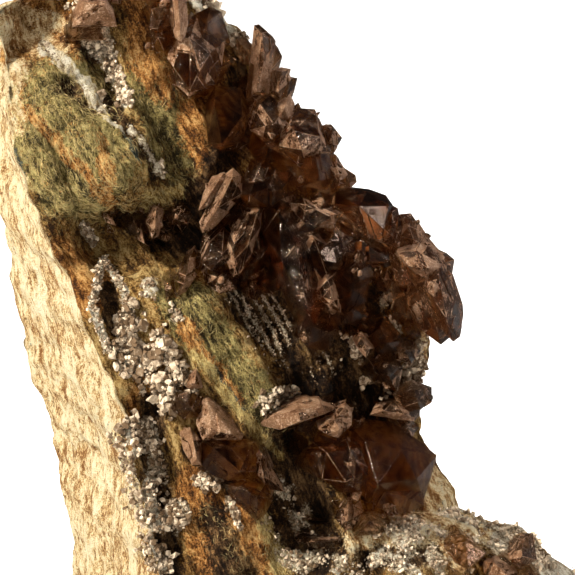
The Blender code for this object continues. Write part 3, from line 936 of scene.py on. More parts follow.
@dataclass(frozen=True)
class RockFinish:
    """Finish of the layered rock: each kind's colours, from the lows of its pattern to the highs."""

    ochre: Stops = (
        (0.12, (0.028, 0.012, 0.004)), (0.34, (0.16, 0.075, 0.018)), (0.56, (0.36, 0.20, 0.055)),
        (0.85, (0.68, 0.48, 0.20)),
    )
    green: Stops = (
        (0.12, (0.026, 0.019, 0.007)), (0.34, (0.12, 0.088, 0.028)), (0.56, (0.25, 0.19, 0.06)),
        (0.85, (0.54, 0.45, 0.18)),
    )
    rust: Stops = (
        (0.12, (0.045, 0.016, 0.005)), (0.34, (0.24, 0.088, 0.018)), (0.56, (0.50, 0.22, 0.055)),
        (0.85, (0.80, 0.50, 0.19)),
    )
    cream: Stops = (
        (0.12, (0.26, 0.11, 0.035)), (0.30, (0.60, 0.36, 0.14)), (0.46, (0.86, 0.67, 0.36)),
        (0.75, (0.95, 0.84, 0.58)),
    )
    white: Stops = (
        (0.12, (0.16, 0.10, 0.05)), (0.32, (0.44, 0.34, 0.21)), (0.52, (0.76, 0.66, 0.48)),
        (0.80, (0.92, 0.87, 0.72)),
    )
    gold: Stops = ((0.2, (0.14, 0.07, 0.015)), (0.45, (0.46, 0.30, 0.09)), (0.8, (0.82, 0.68, 0.30)))
    # Near black: dark rock, and painted shade where the dark bands lie in gaps and hollows.
    dark: Stops = ((0.15, (0.008, 0.004, 0.002)), (0.45, (0.060, 0.029, 0.011)), (0.85, (0.27, 0.155, 0.065)))
    blue: Stops = ((0.2, (0.014, 0.018, 0.018)), (0.5, (0.075, 0.095, 0.085)), (0.85, (0.26, 0.30, 0.22)))

    def material(self) -> Material:
        """The rock's material.

        One pattern of crumbs and streaks along the layers picks the colour from each kind's ramp. The height
        of the relief shifts it too, as painted shade: the hollows take darker colours and the highs lighter
        ones.
        The zones blend the ramps, each along its own mottled edge.

        Returns:
            The material.
        """
        nodes = Nodes(bpy.data.materials.new("layered rock"))
        flow, place = nodes.vector("flow"), nodes.place()
        streaks = nodes.noise(nodes.vectors("MULTIPLY", flow, (0.12, 1.0, 0.6)), 0.8, 6.0, 0.7)
        crumbs = nodes.noise(nodes.vectors("MULTIPLY", flow, (0.42, 1.0, 1.0)), 1.5, 8.0, 0.82)
        specks = nodes.noise(place, 4.5, 4.0, 0.75)
        blotches = nodes.noise(place, 0.22, 5.0, 0.65)
        # Painted shade: the relief's height lifts the pattern, so hollows get darker colours and highs
        # lighter ones.
        pattern = nodes.math("ADD", nodes.scaled(nodes.number("relief"), 0.16), 0.42)
        pattern = nodes.swung(pattern, (crumbs, 3.0), (specks, 1.6), (streaks, 1.6), (blotches, 1.0))
        colour = nodes.ramp(pattern, self.ochre)
        kinds = (
            (Zone.GREEN, self.green, 0.12, 1.0), (Zone.RUST, self.rust, 0.14, 1.0),
            (Zone.CREAM, self.cream, 0.0, 0.9), (Zone.BLUE, self.blue, 0.02, 1.0),
            (Zone.DARK, self.dark, 0.0, 1.0), (Zone.GOLD, self.gold, 0.02, 0.8),
            (Zone.WHITE, self.white, 0.0, 0.5), (Zone.GRITTY, self.white, -0.15, 1.0),
        )
        for number, (zone, stops, everywhere, ragged) in enumerate(kinds, start=1):
            moved = nodes.vectors("ADD", place, (13.7 * number, -7.3 * number, 5.1 * number))
            coarse, fine = nodes.noise(moved, 0.45, 3.0, 0.6), nodes.noise(moved, 2.6, 5.0, 0.8)
            share = nodes.swung(nodes.number(zone.value), (coarse, 1.2 * ragged), (fine, 2.8 * ragged))
            share = nodes.spread(nodes.math("ADD", share, everywhere), 0.34, 0.66)
            colour = nodes.blend(share, colour, nodes.ramp(pattern, stops))
        normal = nodes.bump(streaks, 1.0)
        normal = nodes.bump(crumbs, 1.8, normal)
        normal = nodes.bump(specks, 0.5, normal)
        return nodes.surface(Base_Color=colour, Roughness=0.8, Specular_IOR_Level=0.12, Normal=normal)


@dataclass(frozen=True)
class AxiniteFinish:
    """Finish of the crystals: clear brown, striated along their length, frosted in places."""

    clear: Colour = (0.95, 0.76, 0.55)
    bloom: Stops = (
        (0.05, (0.036, 0.012, 0.003)), (0.35, (0.13, 0.050, 0.018)), (0.60, (0.27, 0.125, 0.055)),
        (0.82, (0.50, 0.300, 0.165)), (1.0, (0.82, 0.62, 0.46)),
    )
    absorbed: Colour = (0.72, 0.42, 0.10)
    absorption: float = 200.0
    shine: Colour = (1.0, 0.74, 0.56)
    bending: float = 1.68
    etched_share: float = 0.55
    # Share of frost on the cut edges: wear, and a painted highlight along them.
    worn_edge_and_highlight_share: float = 0.12
    # Depths of the bumps, in millimetres.
    stria_depth: float = 0.03
    ruffle_depth: float = 0.32

    def material(self) -> Material:
        """The crystals' material.

        Striations are noise drawn out along the crystal's axis. Each face has its own etching, and the narrow
        cut edges a little more, as wear and as a painted highlight along them, broken up by specks,
        striations and veils. Etched parts are rougher, paler and less clear. Small bright dots on the frosted
        parts are white specks and painted glints.

        Returns:
            The material.
        """
        nodes = Nodes(bpy.data.materials.new("axinite"))
        place, axis, tone = nodes.place(), nodes.vector("axis"), nodes.number("tone")
        along = nodes.scaled(nodes.dot(place, axis), 0.85)
        scale = nodes.add("ShaderNodeVectorMath", {0: axis, "Scale": along}, operation="SCALE").outputs[0]
        drawn = nodes.vectors("SUBTRACT", place, scale)
        striae = nodes.noise(drawn, 3.6, 5.0, 0.75)
        offset = nodes.vectors("MULTIPLY", axis, (9.0,) * 3)
        veils = nodes.noise(nodes.vectors("ADD", place, offset), 0.5, 4.0, 0.65)
        specks = nodes.noise(place, 3.4, 4.0, 0.75)
        # The cut edges frost a little more: wear, and a painted highlight along them.
        mask = nodes.math(
            "ADD",
            nodes.scaled(nodes.number("worn_edge_and_highlight"), self.worn_edge_and_highlight_share),
            nodes.scaled(nodes.number("etch"), self.etched_share),
        )
        mask = nodes.swung(mask, (tone, 1.0), (veils, 1.1), (specks, 0.6), (striae, 0.4))
        frost = nodes.spread(mask, 0.10, 0.66)
        ruffled = nodes.math("MULTIPLY", specks, frost)
        normal = nodes.bump(ruffled, self.ruffle_depth, nodes.bump(striae, self.stria_depth))
        # Small bright dots that lift the frosted colour: white specks, and painted glints.
        dust_and_glints = nodes.spread(nodes.noise(place, 4.2, 3.0, 0.8), 0.50, 0.64, 0.0, 0.46)
        pale = nodes.math("ADD", nodes.spread(frost, 0.0, 1.0, 0.10, 0.52), dust_and_glints)
        pale = nodes.swung(pale, (specks, 0.8), (striae, 0.5), (veils, 1.1))
        colour = nodes.blend(nodes.spread(frost, 0.0, 0.12), self.clear, nodes.ramp(pale, self.bloom))
        shader = nodes.add("ShaderNodeBsdfPrincipled", {
            "Base Color": colour,
            "Roughness": nodes.spread(frost, 0.0, 1.0, 0.08, 0.36),
            "Transmission Weight": nodes.spread(frost, 0.06, 1.0, 1.0, 0.35),
            "IOR": self.bending,
            "Specular IOR Level": 0.30,
            "Specular Tint": (*self.shine, 1.0),
            "Normal": normal,
        })
        soaked = {"Color": (*self.absorbed, 1.0), "Density": self.absorption}
        inside = nodes.add("ShaderNodeVolumeAbsorption", soaked)
        outputs = {"Surface": shader.outputs[0], "Volume": inside.outputs[0]}
        nodes.add("ShaderNodeOutputMaterial", outputs)
        return nodes.owner


@dataclass(frozen=True)
class GrainFinish:
    """Finish of the feldspar grains: white, stained by a noise over the rock, each of its own tone."""

    pale: Colour = (0.80, 0.66, 0.48)
    stained: Colour = (0.13, 0.08, 0.042)

    def material(self) -> Material:
        """The grains' material: stained by a noise and by each grain's tone, which holds painted light too.

        Returns:
            The material.
        """
        nodes = Nodes(bpy.data.materials.new("feldspar"))
        place, tone = nodes.place(), nodes.number("tone")
        stains = nodes.noise(place, 1.1, 4.0, 0.65)
        share = nodes.spread(nodes.math("ADD", stains, nodes.scaled(tone, 0.45)), 0.50, 1.05)
        colour = nodes.blend(share, self.pale, self.stained)
        grit = nodes.noise(place, 6.0, 3.0, 0.65)
        normal = nodes.bump(grit, 0.08)
        return nodes.surface(Base_Color=colour, Roughness=0.75, Specular_IOR_Level=0.2, Normal=normal)


@dataclass(frozen=True)
class FibreFinish:
    """Finish of the loose fibres of the rock: straw, each of its own tone."""

    stops: Stops = ((0.1, (0.10, 0.09, 0.045)), (0.45, (0.36, 0.27, 0.10)), (0.8, (0.66, 0.50, 0.20)))

    def material(self) -> Material:
        """The fibres' material: a colour by each one's tone, with fine noise along it.

        Returns:
            The material.
        """
        nodes = Nodes(bpy.data.materials.new("straw fibres"))
        streaks = nodes.noise(nodes.place(), 2.5, 3.0, 0.6)
        mixed = nodes.math("ADD", nodes.scaled(nodes.number("tone"), 0.6), nodes.scaled(streaks, 0.5))
        colour, normal = nodes.ramp(mixed, self.stops), nodes.bump(streaks, 0.05)
        return nodes.surface(Base_Color=colour, Roughness=0.6, Normal=normal)


class Habit(Enum):
    """Forms of crystal. The value lists its faces as (a, b, c, d): a x + b y + c z is at most d.

    x, y and z are shares of the width, thickness and length, from the middle of the root.
    """

    # A wedge with a long slanting edge, as of an axe.
    AXE = (
        (0.1, 1.0, -0.1, 0.5), (0.05, 1.0, 0.95, 1.0), (-0.08, -1.0, 0.9, 0.95), (-0.1, -1.0, -0.1, 0.5),
        (1.0, 0.6, 0.0, 0.44), (1.0, -0.9, 0.0, 0.59), (-1.0, -0.6, 0.0, 0.44), (-1.0, 0.9, 0.0, 0.59),
        (-0.235, 0.0, 1.0, 0.925), (1.0, 0.0, 0.8, 1.12), (-1.0, 0.0, 0.37, 0.67),
    )
    # A thick skewed block with a flat slanting end.
    BLOCK = (
        (1.0, 0.2, 0.0, 0.5), (-1.0, -0.25, 0.05, 0.5), (0.15, 1.0, 0.0, 0.5), (-0.2, -1.0, 0.05, 0.5),
        (0.25, 0.1, 1.0, 1.0), (1.0, 0.9, 0.3, 0.85), (-0.8, 0.7, 0.9, 1.2), (0.7, -0.8, 0.8, 1.1),
        (-0.9, -0.8, 0.2, 0.78),
    )
    # A broad thin plate with bevelled rims and a straight far edge.
    PLATE = (
        (0.0, 1.0, 0.1, 0.5), (0.0, -1.0, 0.12, 0.5), (1.0, 0.35, 0.1, 0.5), (1.0, -0.45, 0.15, 0.52),
        (-1.0, 0.4, 0.1, 0.5), (-1.0, -0.35, 0.12, 0.5), (-0.08, 0.3, 1.0, 0.97), (0.1, -0.35, 1.0, 0.98),
        (0.9, 0.0, 0.8, 1.1), (-0.9, 0.0, 0.7, 1.0),
    )


@dataclass(frozen=True)
class Crystal:
    """One crystal, from the middle of its buried root to its tip, in the slab's frame.

    roll turns its broad face about its long axis: at 0 that face looks out of the slab.
    """

    root: tuple[float, float, float]
    tip: tuple[float, float, float]
    width: float
    thickness: float
    roll: float
    habit: Habit

    def frame(self) -> tuple[Vector, Vector, Vector]:
        """The directions that the crystal grew in.

        Returns:
            Directions of the width, the thickness and the length.
        """
        along = (Vector(self.tip) - Vector(self.root)).normalized()
        reference = Vector((0, 0, 1)) if abs(along.z) < 0.94 else Vector((0, 1, 0))
        face = (reference - reference.dot(along) * along).normalized()
        face = Matrix.Rotation(radians(self.roll), 3, along) @ face
        return along.cross(face), face, along

    def placed(self, shares: Array) -> Array:
        """Puts places within the crystal on the slab.

        Args:
            shares: places as shares of the width, thickness and length.

        Returns:
            Slab points.
        """
        side, face, along = (np.array(direction) for direction in self.frame())
        length = (Vector(self.tip) - Vector(self.root)).length
        x, y, z = shares[..., 0:1] * self.width, shares[..., 1:2] * self.thickness, shares[..., 2:3] * length
        return np.array(self.root) + side * x + face * y + along * z


@dataclass(frozen=True)
class Cut:
    """A crystal given by what is seen of it: the corners of its outline and crest.

    Each corner is its pixel in the photograph and its height w in millimetres. The root repeats the
    outline, smaller, deeper in the rock and moved by (x, y) pixels.
    """

    outline: tuple[Corner, ...]
    crest: tuple[Corner, ...]
    etched: float
    shift: Point = (0.0, 0.0)
    reach: float = 6.0
    narrowing: float = 0.72

    def corners(self) -> tuple[Array, Array]:
        """The crystal's corners.

        Returns:
            The corners that are seen, and those of the root.
        """
        rim = np.array([seen(*corner) for corner in self.outline])
        crest = np.array([seen(*corner) for corner in self.crest])
        middle = rim.mean(axis=0)
        root = middle + (rim - middle) * self.narrowing
        root[:, :2] += np.array((self.shift[0], -self.shift[1])) / PIXELS_PER_MM
        root[:, 2] = rim[:, 2].min() - self.reach
        return np.concatenate([rim, crest]), root

    def axis(self) -> Array:
        """The way in which the outline is longest."""
        rim = np.array([seen(*corner) for corner in self.outline])
        return np.linalg.svd(rim - rim.mean(axis=0))[2][0]


@dataclass(frozen=True)
class Growth:
    """How a crystal is made up: its stepped parallel parts and the young crystals on it."""

    parts: int = 4
    young: int = 3
    sunk: int = 0
    unevenness: float = 0.05
    edge: float = 0.055
    shortest_edge: float = 0.14
    step_size: Point = (0.3, 0.78)
    step_out: Point = (0.06, 0.24)
    step_rise: Point = (0.0, 0.22)
    sunk_size: Point = (0.75, 1.0)
    sunk_turn: Point = (-0.9, 0.9)
    sunk_away: Point = (1.2, 3.0)
    sunk_rise: Point = (-3.4, -2.0)

    def corners(self, planes: Array) -> Array:
        """Corners of the solid inside the planes: where three meet and no other cuts them off.

        Args:
            planes: rows of (a, b, c, d).

        Returns:
            The corners.
        """
        triples = np.array(list(itertools.combinations(range(len(planes)), 3)))
        normals, limits = planes[:, :3], planes[:, 3]
        systems = normals[triples]
        meeting = np.abs(np.linalg.det(systems)) > 1e-4
        found = np.linalg.solve(systems[meeting], limits[triples[meeting]][..., None])[..., 0]
        inside = (found @ normals.T <= limits + 1e-6).all(axis=1)
        return np.unique(np.round(found[inside], 5), axis=0)

    def planes(self, habit: Habit, rng: Random, size: float, shift: Array) -> Array:
        """Faces of the habit made smaller and moved, each unevenly, on the same root.

        Args:
            habit: form of the crystal.
            rng: random source.
            size: share of the whole crystal's size.
            shift: its move, in shares of width, thickness and length.

        Returns:
            Rows of (a, b, c, d), the root's face last.
        """
        faces = np.array(habit.value)
        limits = faces[:, 3] * size * rng.uniform(1 - self.unevenness, 1.0, len(faces))
        limits += faces[:, :3] @ shift
        return np.vstack([np.column_stack([faces[:, :3], limits]), (0.0, 0.0, -1.0, 0.0)])

    def solids(self, crystal: Crystal, rng: Random) -> list[Array]:
        """Corner points of the crystal's parallel parts.

        Args:
            crystal: the crystal.
            rng: random source.

        Returns:
            Slab points of each part.
        """
        made = [self.planes(crystal.habit, rng, 1.0, np.zeros(3))]
        for number in range(self.parts):
            size = rng.uniform(0.42, 0.82)
            spare = 1.0 - size
            x, y = rng.choice((-1, 1)), (1, 1, -1, 1)[number % 4]
            shift = np.array([
                x * spare * rng.uniform(0.1, 0.55),
                y * (spare * 0.5 + rng.uniform(0.03, 0.11)),
                spare * rng.uniform(0.35, 0.95),
            ])
            made.append(self.planes(crystal.habit, rng, size, shift))
        return [crystal.placed(self.corners(planes)) for planes in made]

    def cut_solids(self, cut: Cut, rng: Random) -> list[Array]:
        """Corner points of a cut crystal and of its steps.

        A step is the whole crystal drawn together towards a seen corner, then moved out a little.

        Args:
            cut: the crystal.
            rng: random source.

        Returns:
            Slab points of each part.
        """
        front, root = cut.corners()
        whole = np.concatenate([front, root])
        middle = whole.mean(axis=0)
        made = [whole]
        for _ in range(self.parts):
            anchor = front[rng.integers(len(front))]
            out = unit(anchor - middle) * rng.uniform(*self.step_out)
            out[2] += rng.uniform(*self.step_rise)
            made.append(anchor + (whole - anchor) * rng.uniform(*self.step_size) + out)
        return made

    def sunk_solids(self, cut: Cut, centre: Array, rng: Random) -> list[Array]:
        """Corner points of crystals like the cut one, sunk beside it to fill the gaps.

        Each is the crystal turned in the slab's plane, moved towards the cluster's middle and sunk.

        Args:
            cut: the crystal.
            centre: middle of the cluster.
            rng: random source.

        Returns:
            Slab points of each sunk crystal.
        """
        whole = np.concatenate(cut.corners())
        middle = whole.mean(axis=0)
        made = []
        for _ in range(self.sunk):
            turn = np.array(Matrix.Rotation(rng.uniform(*self.sunk_turn), 3, (0.0, 0.0, 1.0)))
            way = unit(unit(centre - middle) + 0.7 * rng.normal(size=3)) * rng.uniform(*self.sunk_away)
            way[2] = rng.uniform(*self.sunk_rise)
            made.append(middle + way + (whole - middle) @ turn.T * rng.uniform(*self.sunk_size))
        return made

    def young_one(self, root: Array, tip: Array, width: float, habit: Habit, rng: Random) -> Crystal:
        """A small crystal of random thickness and roll."""
        thickness = width * rng.uniform(0.5, 0.8)
        return Crystal(tuple(root), tuple(tip), width, thickness, rng.uniform(-90, 90), habit)

    def young_on_cut(self, cut: Cut, rng: Random) -> list[Crystal]:
        """Small crystals that stand on a cut crystal.

        Args:
            cut: their carrier.
            rng: random source.

        Returns:
            The small crystals.
        """
        front, root = cut.corners()
        middle = np.concatenate([front, root]).mean(axis=0)
        young = []
        for _ in range(self.young):
            first, second = front[rng.choice(len(front), 2, replace=False)]
            foot = 0.55 * first + 0.25 * second + 0.2 * middle
            way = unit(unit(foot - middle) + (0.0, 0.0, rng.uniform(0.2, 1.2)))
            width = rng.uniform(0.5, 1.3)
            habit = tuple(Habit)[int(rng.integers(3))]
            tip = foot + way * rng.uniform(0.9, 1.9)
            young.append(self.young_one(foot, tip, width, habit, rng))
        return young

    def young_crystals(self, crystal: Crystal, rng: Random) -> list[Crystal]:
        """Small crystals that stand on the crystal, their roots inside it.

        Args:
            crystal: their carrier.
            rng: random source.

        Returns:
            The small crystals.
        """
        side, face, along = (np.array(direction) for direction in crystal.frame())
        young = []
        for _ in range(self.young):
            share = np.array([rng.uniform(-0.3, 0.3), rng.uniform(-0.25, 0.3), rng.uniform(0.15, 0.62)])
            root = crystal.placed(share)
            outward = side * np.sign(share[0]) * rng.uniform(0.2, 1.0)
            outward += face * np.sign(share[1]) * rng.uniform(0.3, 1.0)
            direction = unit(unit(outward) + along * rng.uniform(-0.1, 0.9))
            reach = 0.5 * min(crystal.width, crystal.thickness) + rng.uniform(0.5, 1.3)
            width = rng.uniform(0.9, 1.9)
            habit = tuple(Habit)[int(rng.integers(3))]
            young.append(self.young_one(root, root + direction * reach, width, habit, rng))
        return young


@dataclass(frozen=True)
class Cluster:
    """Crystals that grew through each other, as one closed piece in place of the node of that name."""

    name: str
    crystals: tuple[Cut | Crystal, ...]
    seed: int
    growth: Growth = Growth()
    cut_growth: Growth = Growth(parts=3, young=2, sunk=2, edge=0.045)
    young_growth: Growth = Growth(parts=1, young=0, edge=0.03, shortest_edge=0.08)

    def build(self, material: Material) -> Piece:
        """The cluster as one piece: all parts of all crystals, joined in one solid.

        Args:
            material: finish of the crystals.

        Returns:
            The piece.
        """
        rng = np.random.default_rng(self.seed)
        solids: list[Piece] = []
        cuts = [crystal for crystal in self.crystals if isinstance(crystal, Cut)]
        centre = np.mean([cut.corners()[0].mean(axis=0) for cut in cuts], axis=0) if cuts else np.zeros(3)
        for crystal in self.crystals:
            if isinstance(crystal, Cut):
                growth = self.cut_growth
                parts = growth.cut_solids(crystal, rng)
                solids += self.part_objects(parts, crystal.axis(), growth, rng, crystal.etched)
                for part in growth.sunk_solids(crystal, centre, rng):
                    solids += self.part_objects([part], crystal.axis(), growth, rng, rng.uniform(0.1, 0.5))
                young_ones = growth.young_on_cut(crystal, rng)
            else:
                solids += self.crystal_objects(crystal, self.growth, rng)
                young_ones = self.growth.young_crystals(crystal, rng)
            for young in young_ones:
                solids += self.crystal_objects(young, self.young_growth, rng)
        others = bpy.data.collections.new("parts of a cluster")
        bpy.context.scene.collection.children.link(others)
        first, *rest = solids
        for part in rest:
            others.objects.link(part)
        show(first)
        first.name = self.name.replace("axinite", "crystals")
        self.unite(first, others)
        for part in rest:
            bpy.data.objects.remove(part)
        bpy.data.collections.remove(others)
        first.data.materials.clear()
        first.data.materials.append(material)
        fit_in(first, "root", "axinite", self.name)
        return first

    def crystal_objects(self, crystal: Crystal, growth: Growth, rng: Random) -> list[Piece]:
        """One object for each parallel part of a crystal."""
        axis = np.array(crystal.frame()[2])
        return self.part_objects(growth.solids(crystal, rng), axis, growth, rng, rng.uniform())

    def part_objects(
        self, parts: list[Array], axis: Array, growth: Growth, rng: Random, tone: float
    ) -> list[Piece]:
        """One object for each part, whose faces carry the axis, the tone and an etching each.

        Args:
            parts: slab points of each part.
            axis: the crystal's long axis.
            growth: width of the cut edges.
            rng: random source.
            tone: from 0 to 1.

        Returns:
            The objects.
        """
        made = []
        axis = stand(axis) / MM
        for corners in parts:
            mesh = self.solid_mesh(corners, growth)
            count = len(mesh.polygons)
            set_attribute(mesh, "axis", np.tile(axis, (count, 1)), "FACE")
            set_attribute(mesh, "tone", np.full(count, tone), "FACE")
            set_attribute(mesh, "etch", rng.random(count), "FACE")
            made.append(bpy.data.objects.new("part", mesh))
        return made

    def solid_mesh(self, corners: Array, growth: Growth) -> bpy.types.Mesh:
        """A closed mesh of flat faces round the corners, its narrow cut edges marked for wear and painted
        highlight.

        Args:
            corners: slab points.
            growth: width of the cut edges.

        Returns:
            The mesh.
        """
        edit = bmesh.new()
        worn_edge_and_highlight = edit.faces.layers.float.new("worn_edge_and_highlight")
        for point in stand(corners):
            edit.verts.new(point)
        bmesh.ops.remove_doubles(edit, verts=edit.verts, dist=growth.shortest_edge * MM)
        hull = bmesh.ops.convex_hull(edit, input=edit.verts)
        spare = hull["geom_interior"] + hull["geom_unused"]
        spare = {part for part in spare if isinstance(part, bmesh.types.BMVert)}
        bmesh.ops.delete(edit, geom=list(spare), context="VERTS")
        bmesh.ops.dissolve_limit(edit, angle_limit=radians(5.0), verts=edit.verts, edges=edit.edges)
        bmesh.ops.recalc_face_normals(edit, faces=edit.faces)
        cut = bmesh.ops.bevel(
            edit, geom=edit.edges, offset=growth.edge * MM, segments=1, affect="EDGES", clamp_overlap=True
        )
        # The cut edges are marked for a paler frost: wear, and a painted highlight along them.
        for face in cut["faces"]:
            face[worn_edge_and_highlight] = 1.0
        mesh = bpy.data.meshes.new("part")
        edit.to_mesh(mesh)
        edit.free()
        return mesh

    def unite(self, solid: Piece, others: bpy.types.Collection) -> None:
        """Joins the others to the solid and keeps the result as its mesh.

        Args:
            solid: the first crystal.
            others: the rest of them.
        """
        joint = solid.modifiers.new("join", "BOOLEAN")
        joint.operation = "UNION"
        joint.operand_type = "COLLECTION"
        joint.collection = others
        joint.solver = "MANIFOLD"
        graph = bpy.context.evaluated_depsgraph_get()
        joined = bpy.data.meshes.new_from_object(solid.evaluated_get(graph))
        solid.modifiers.clear()
        solid.data = joined


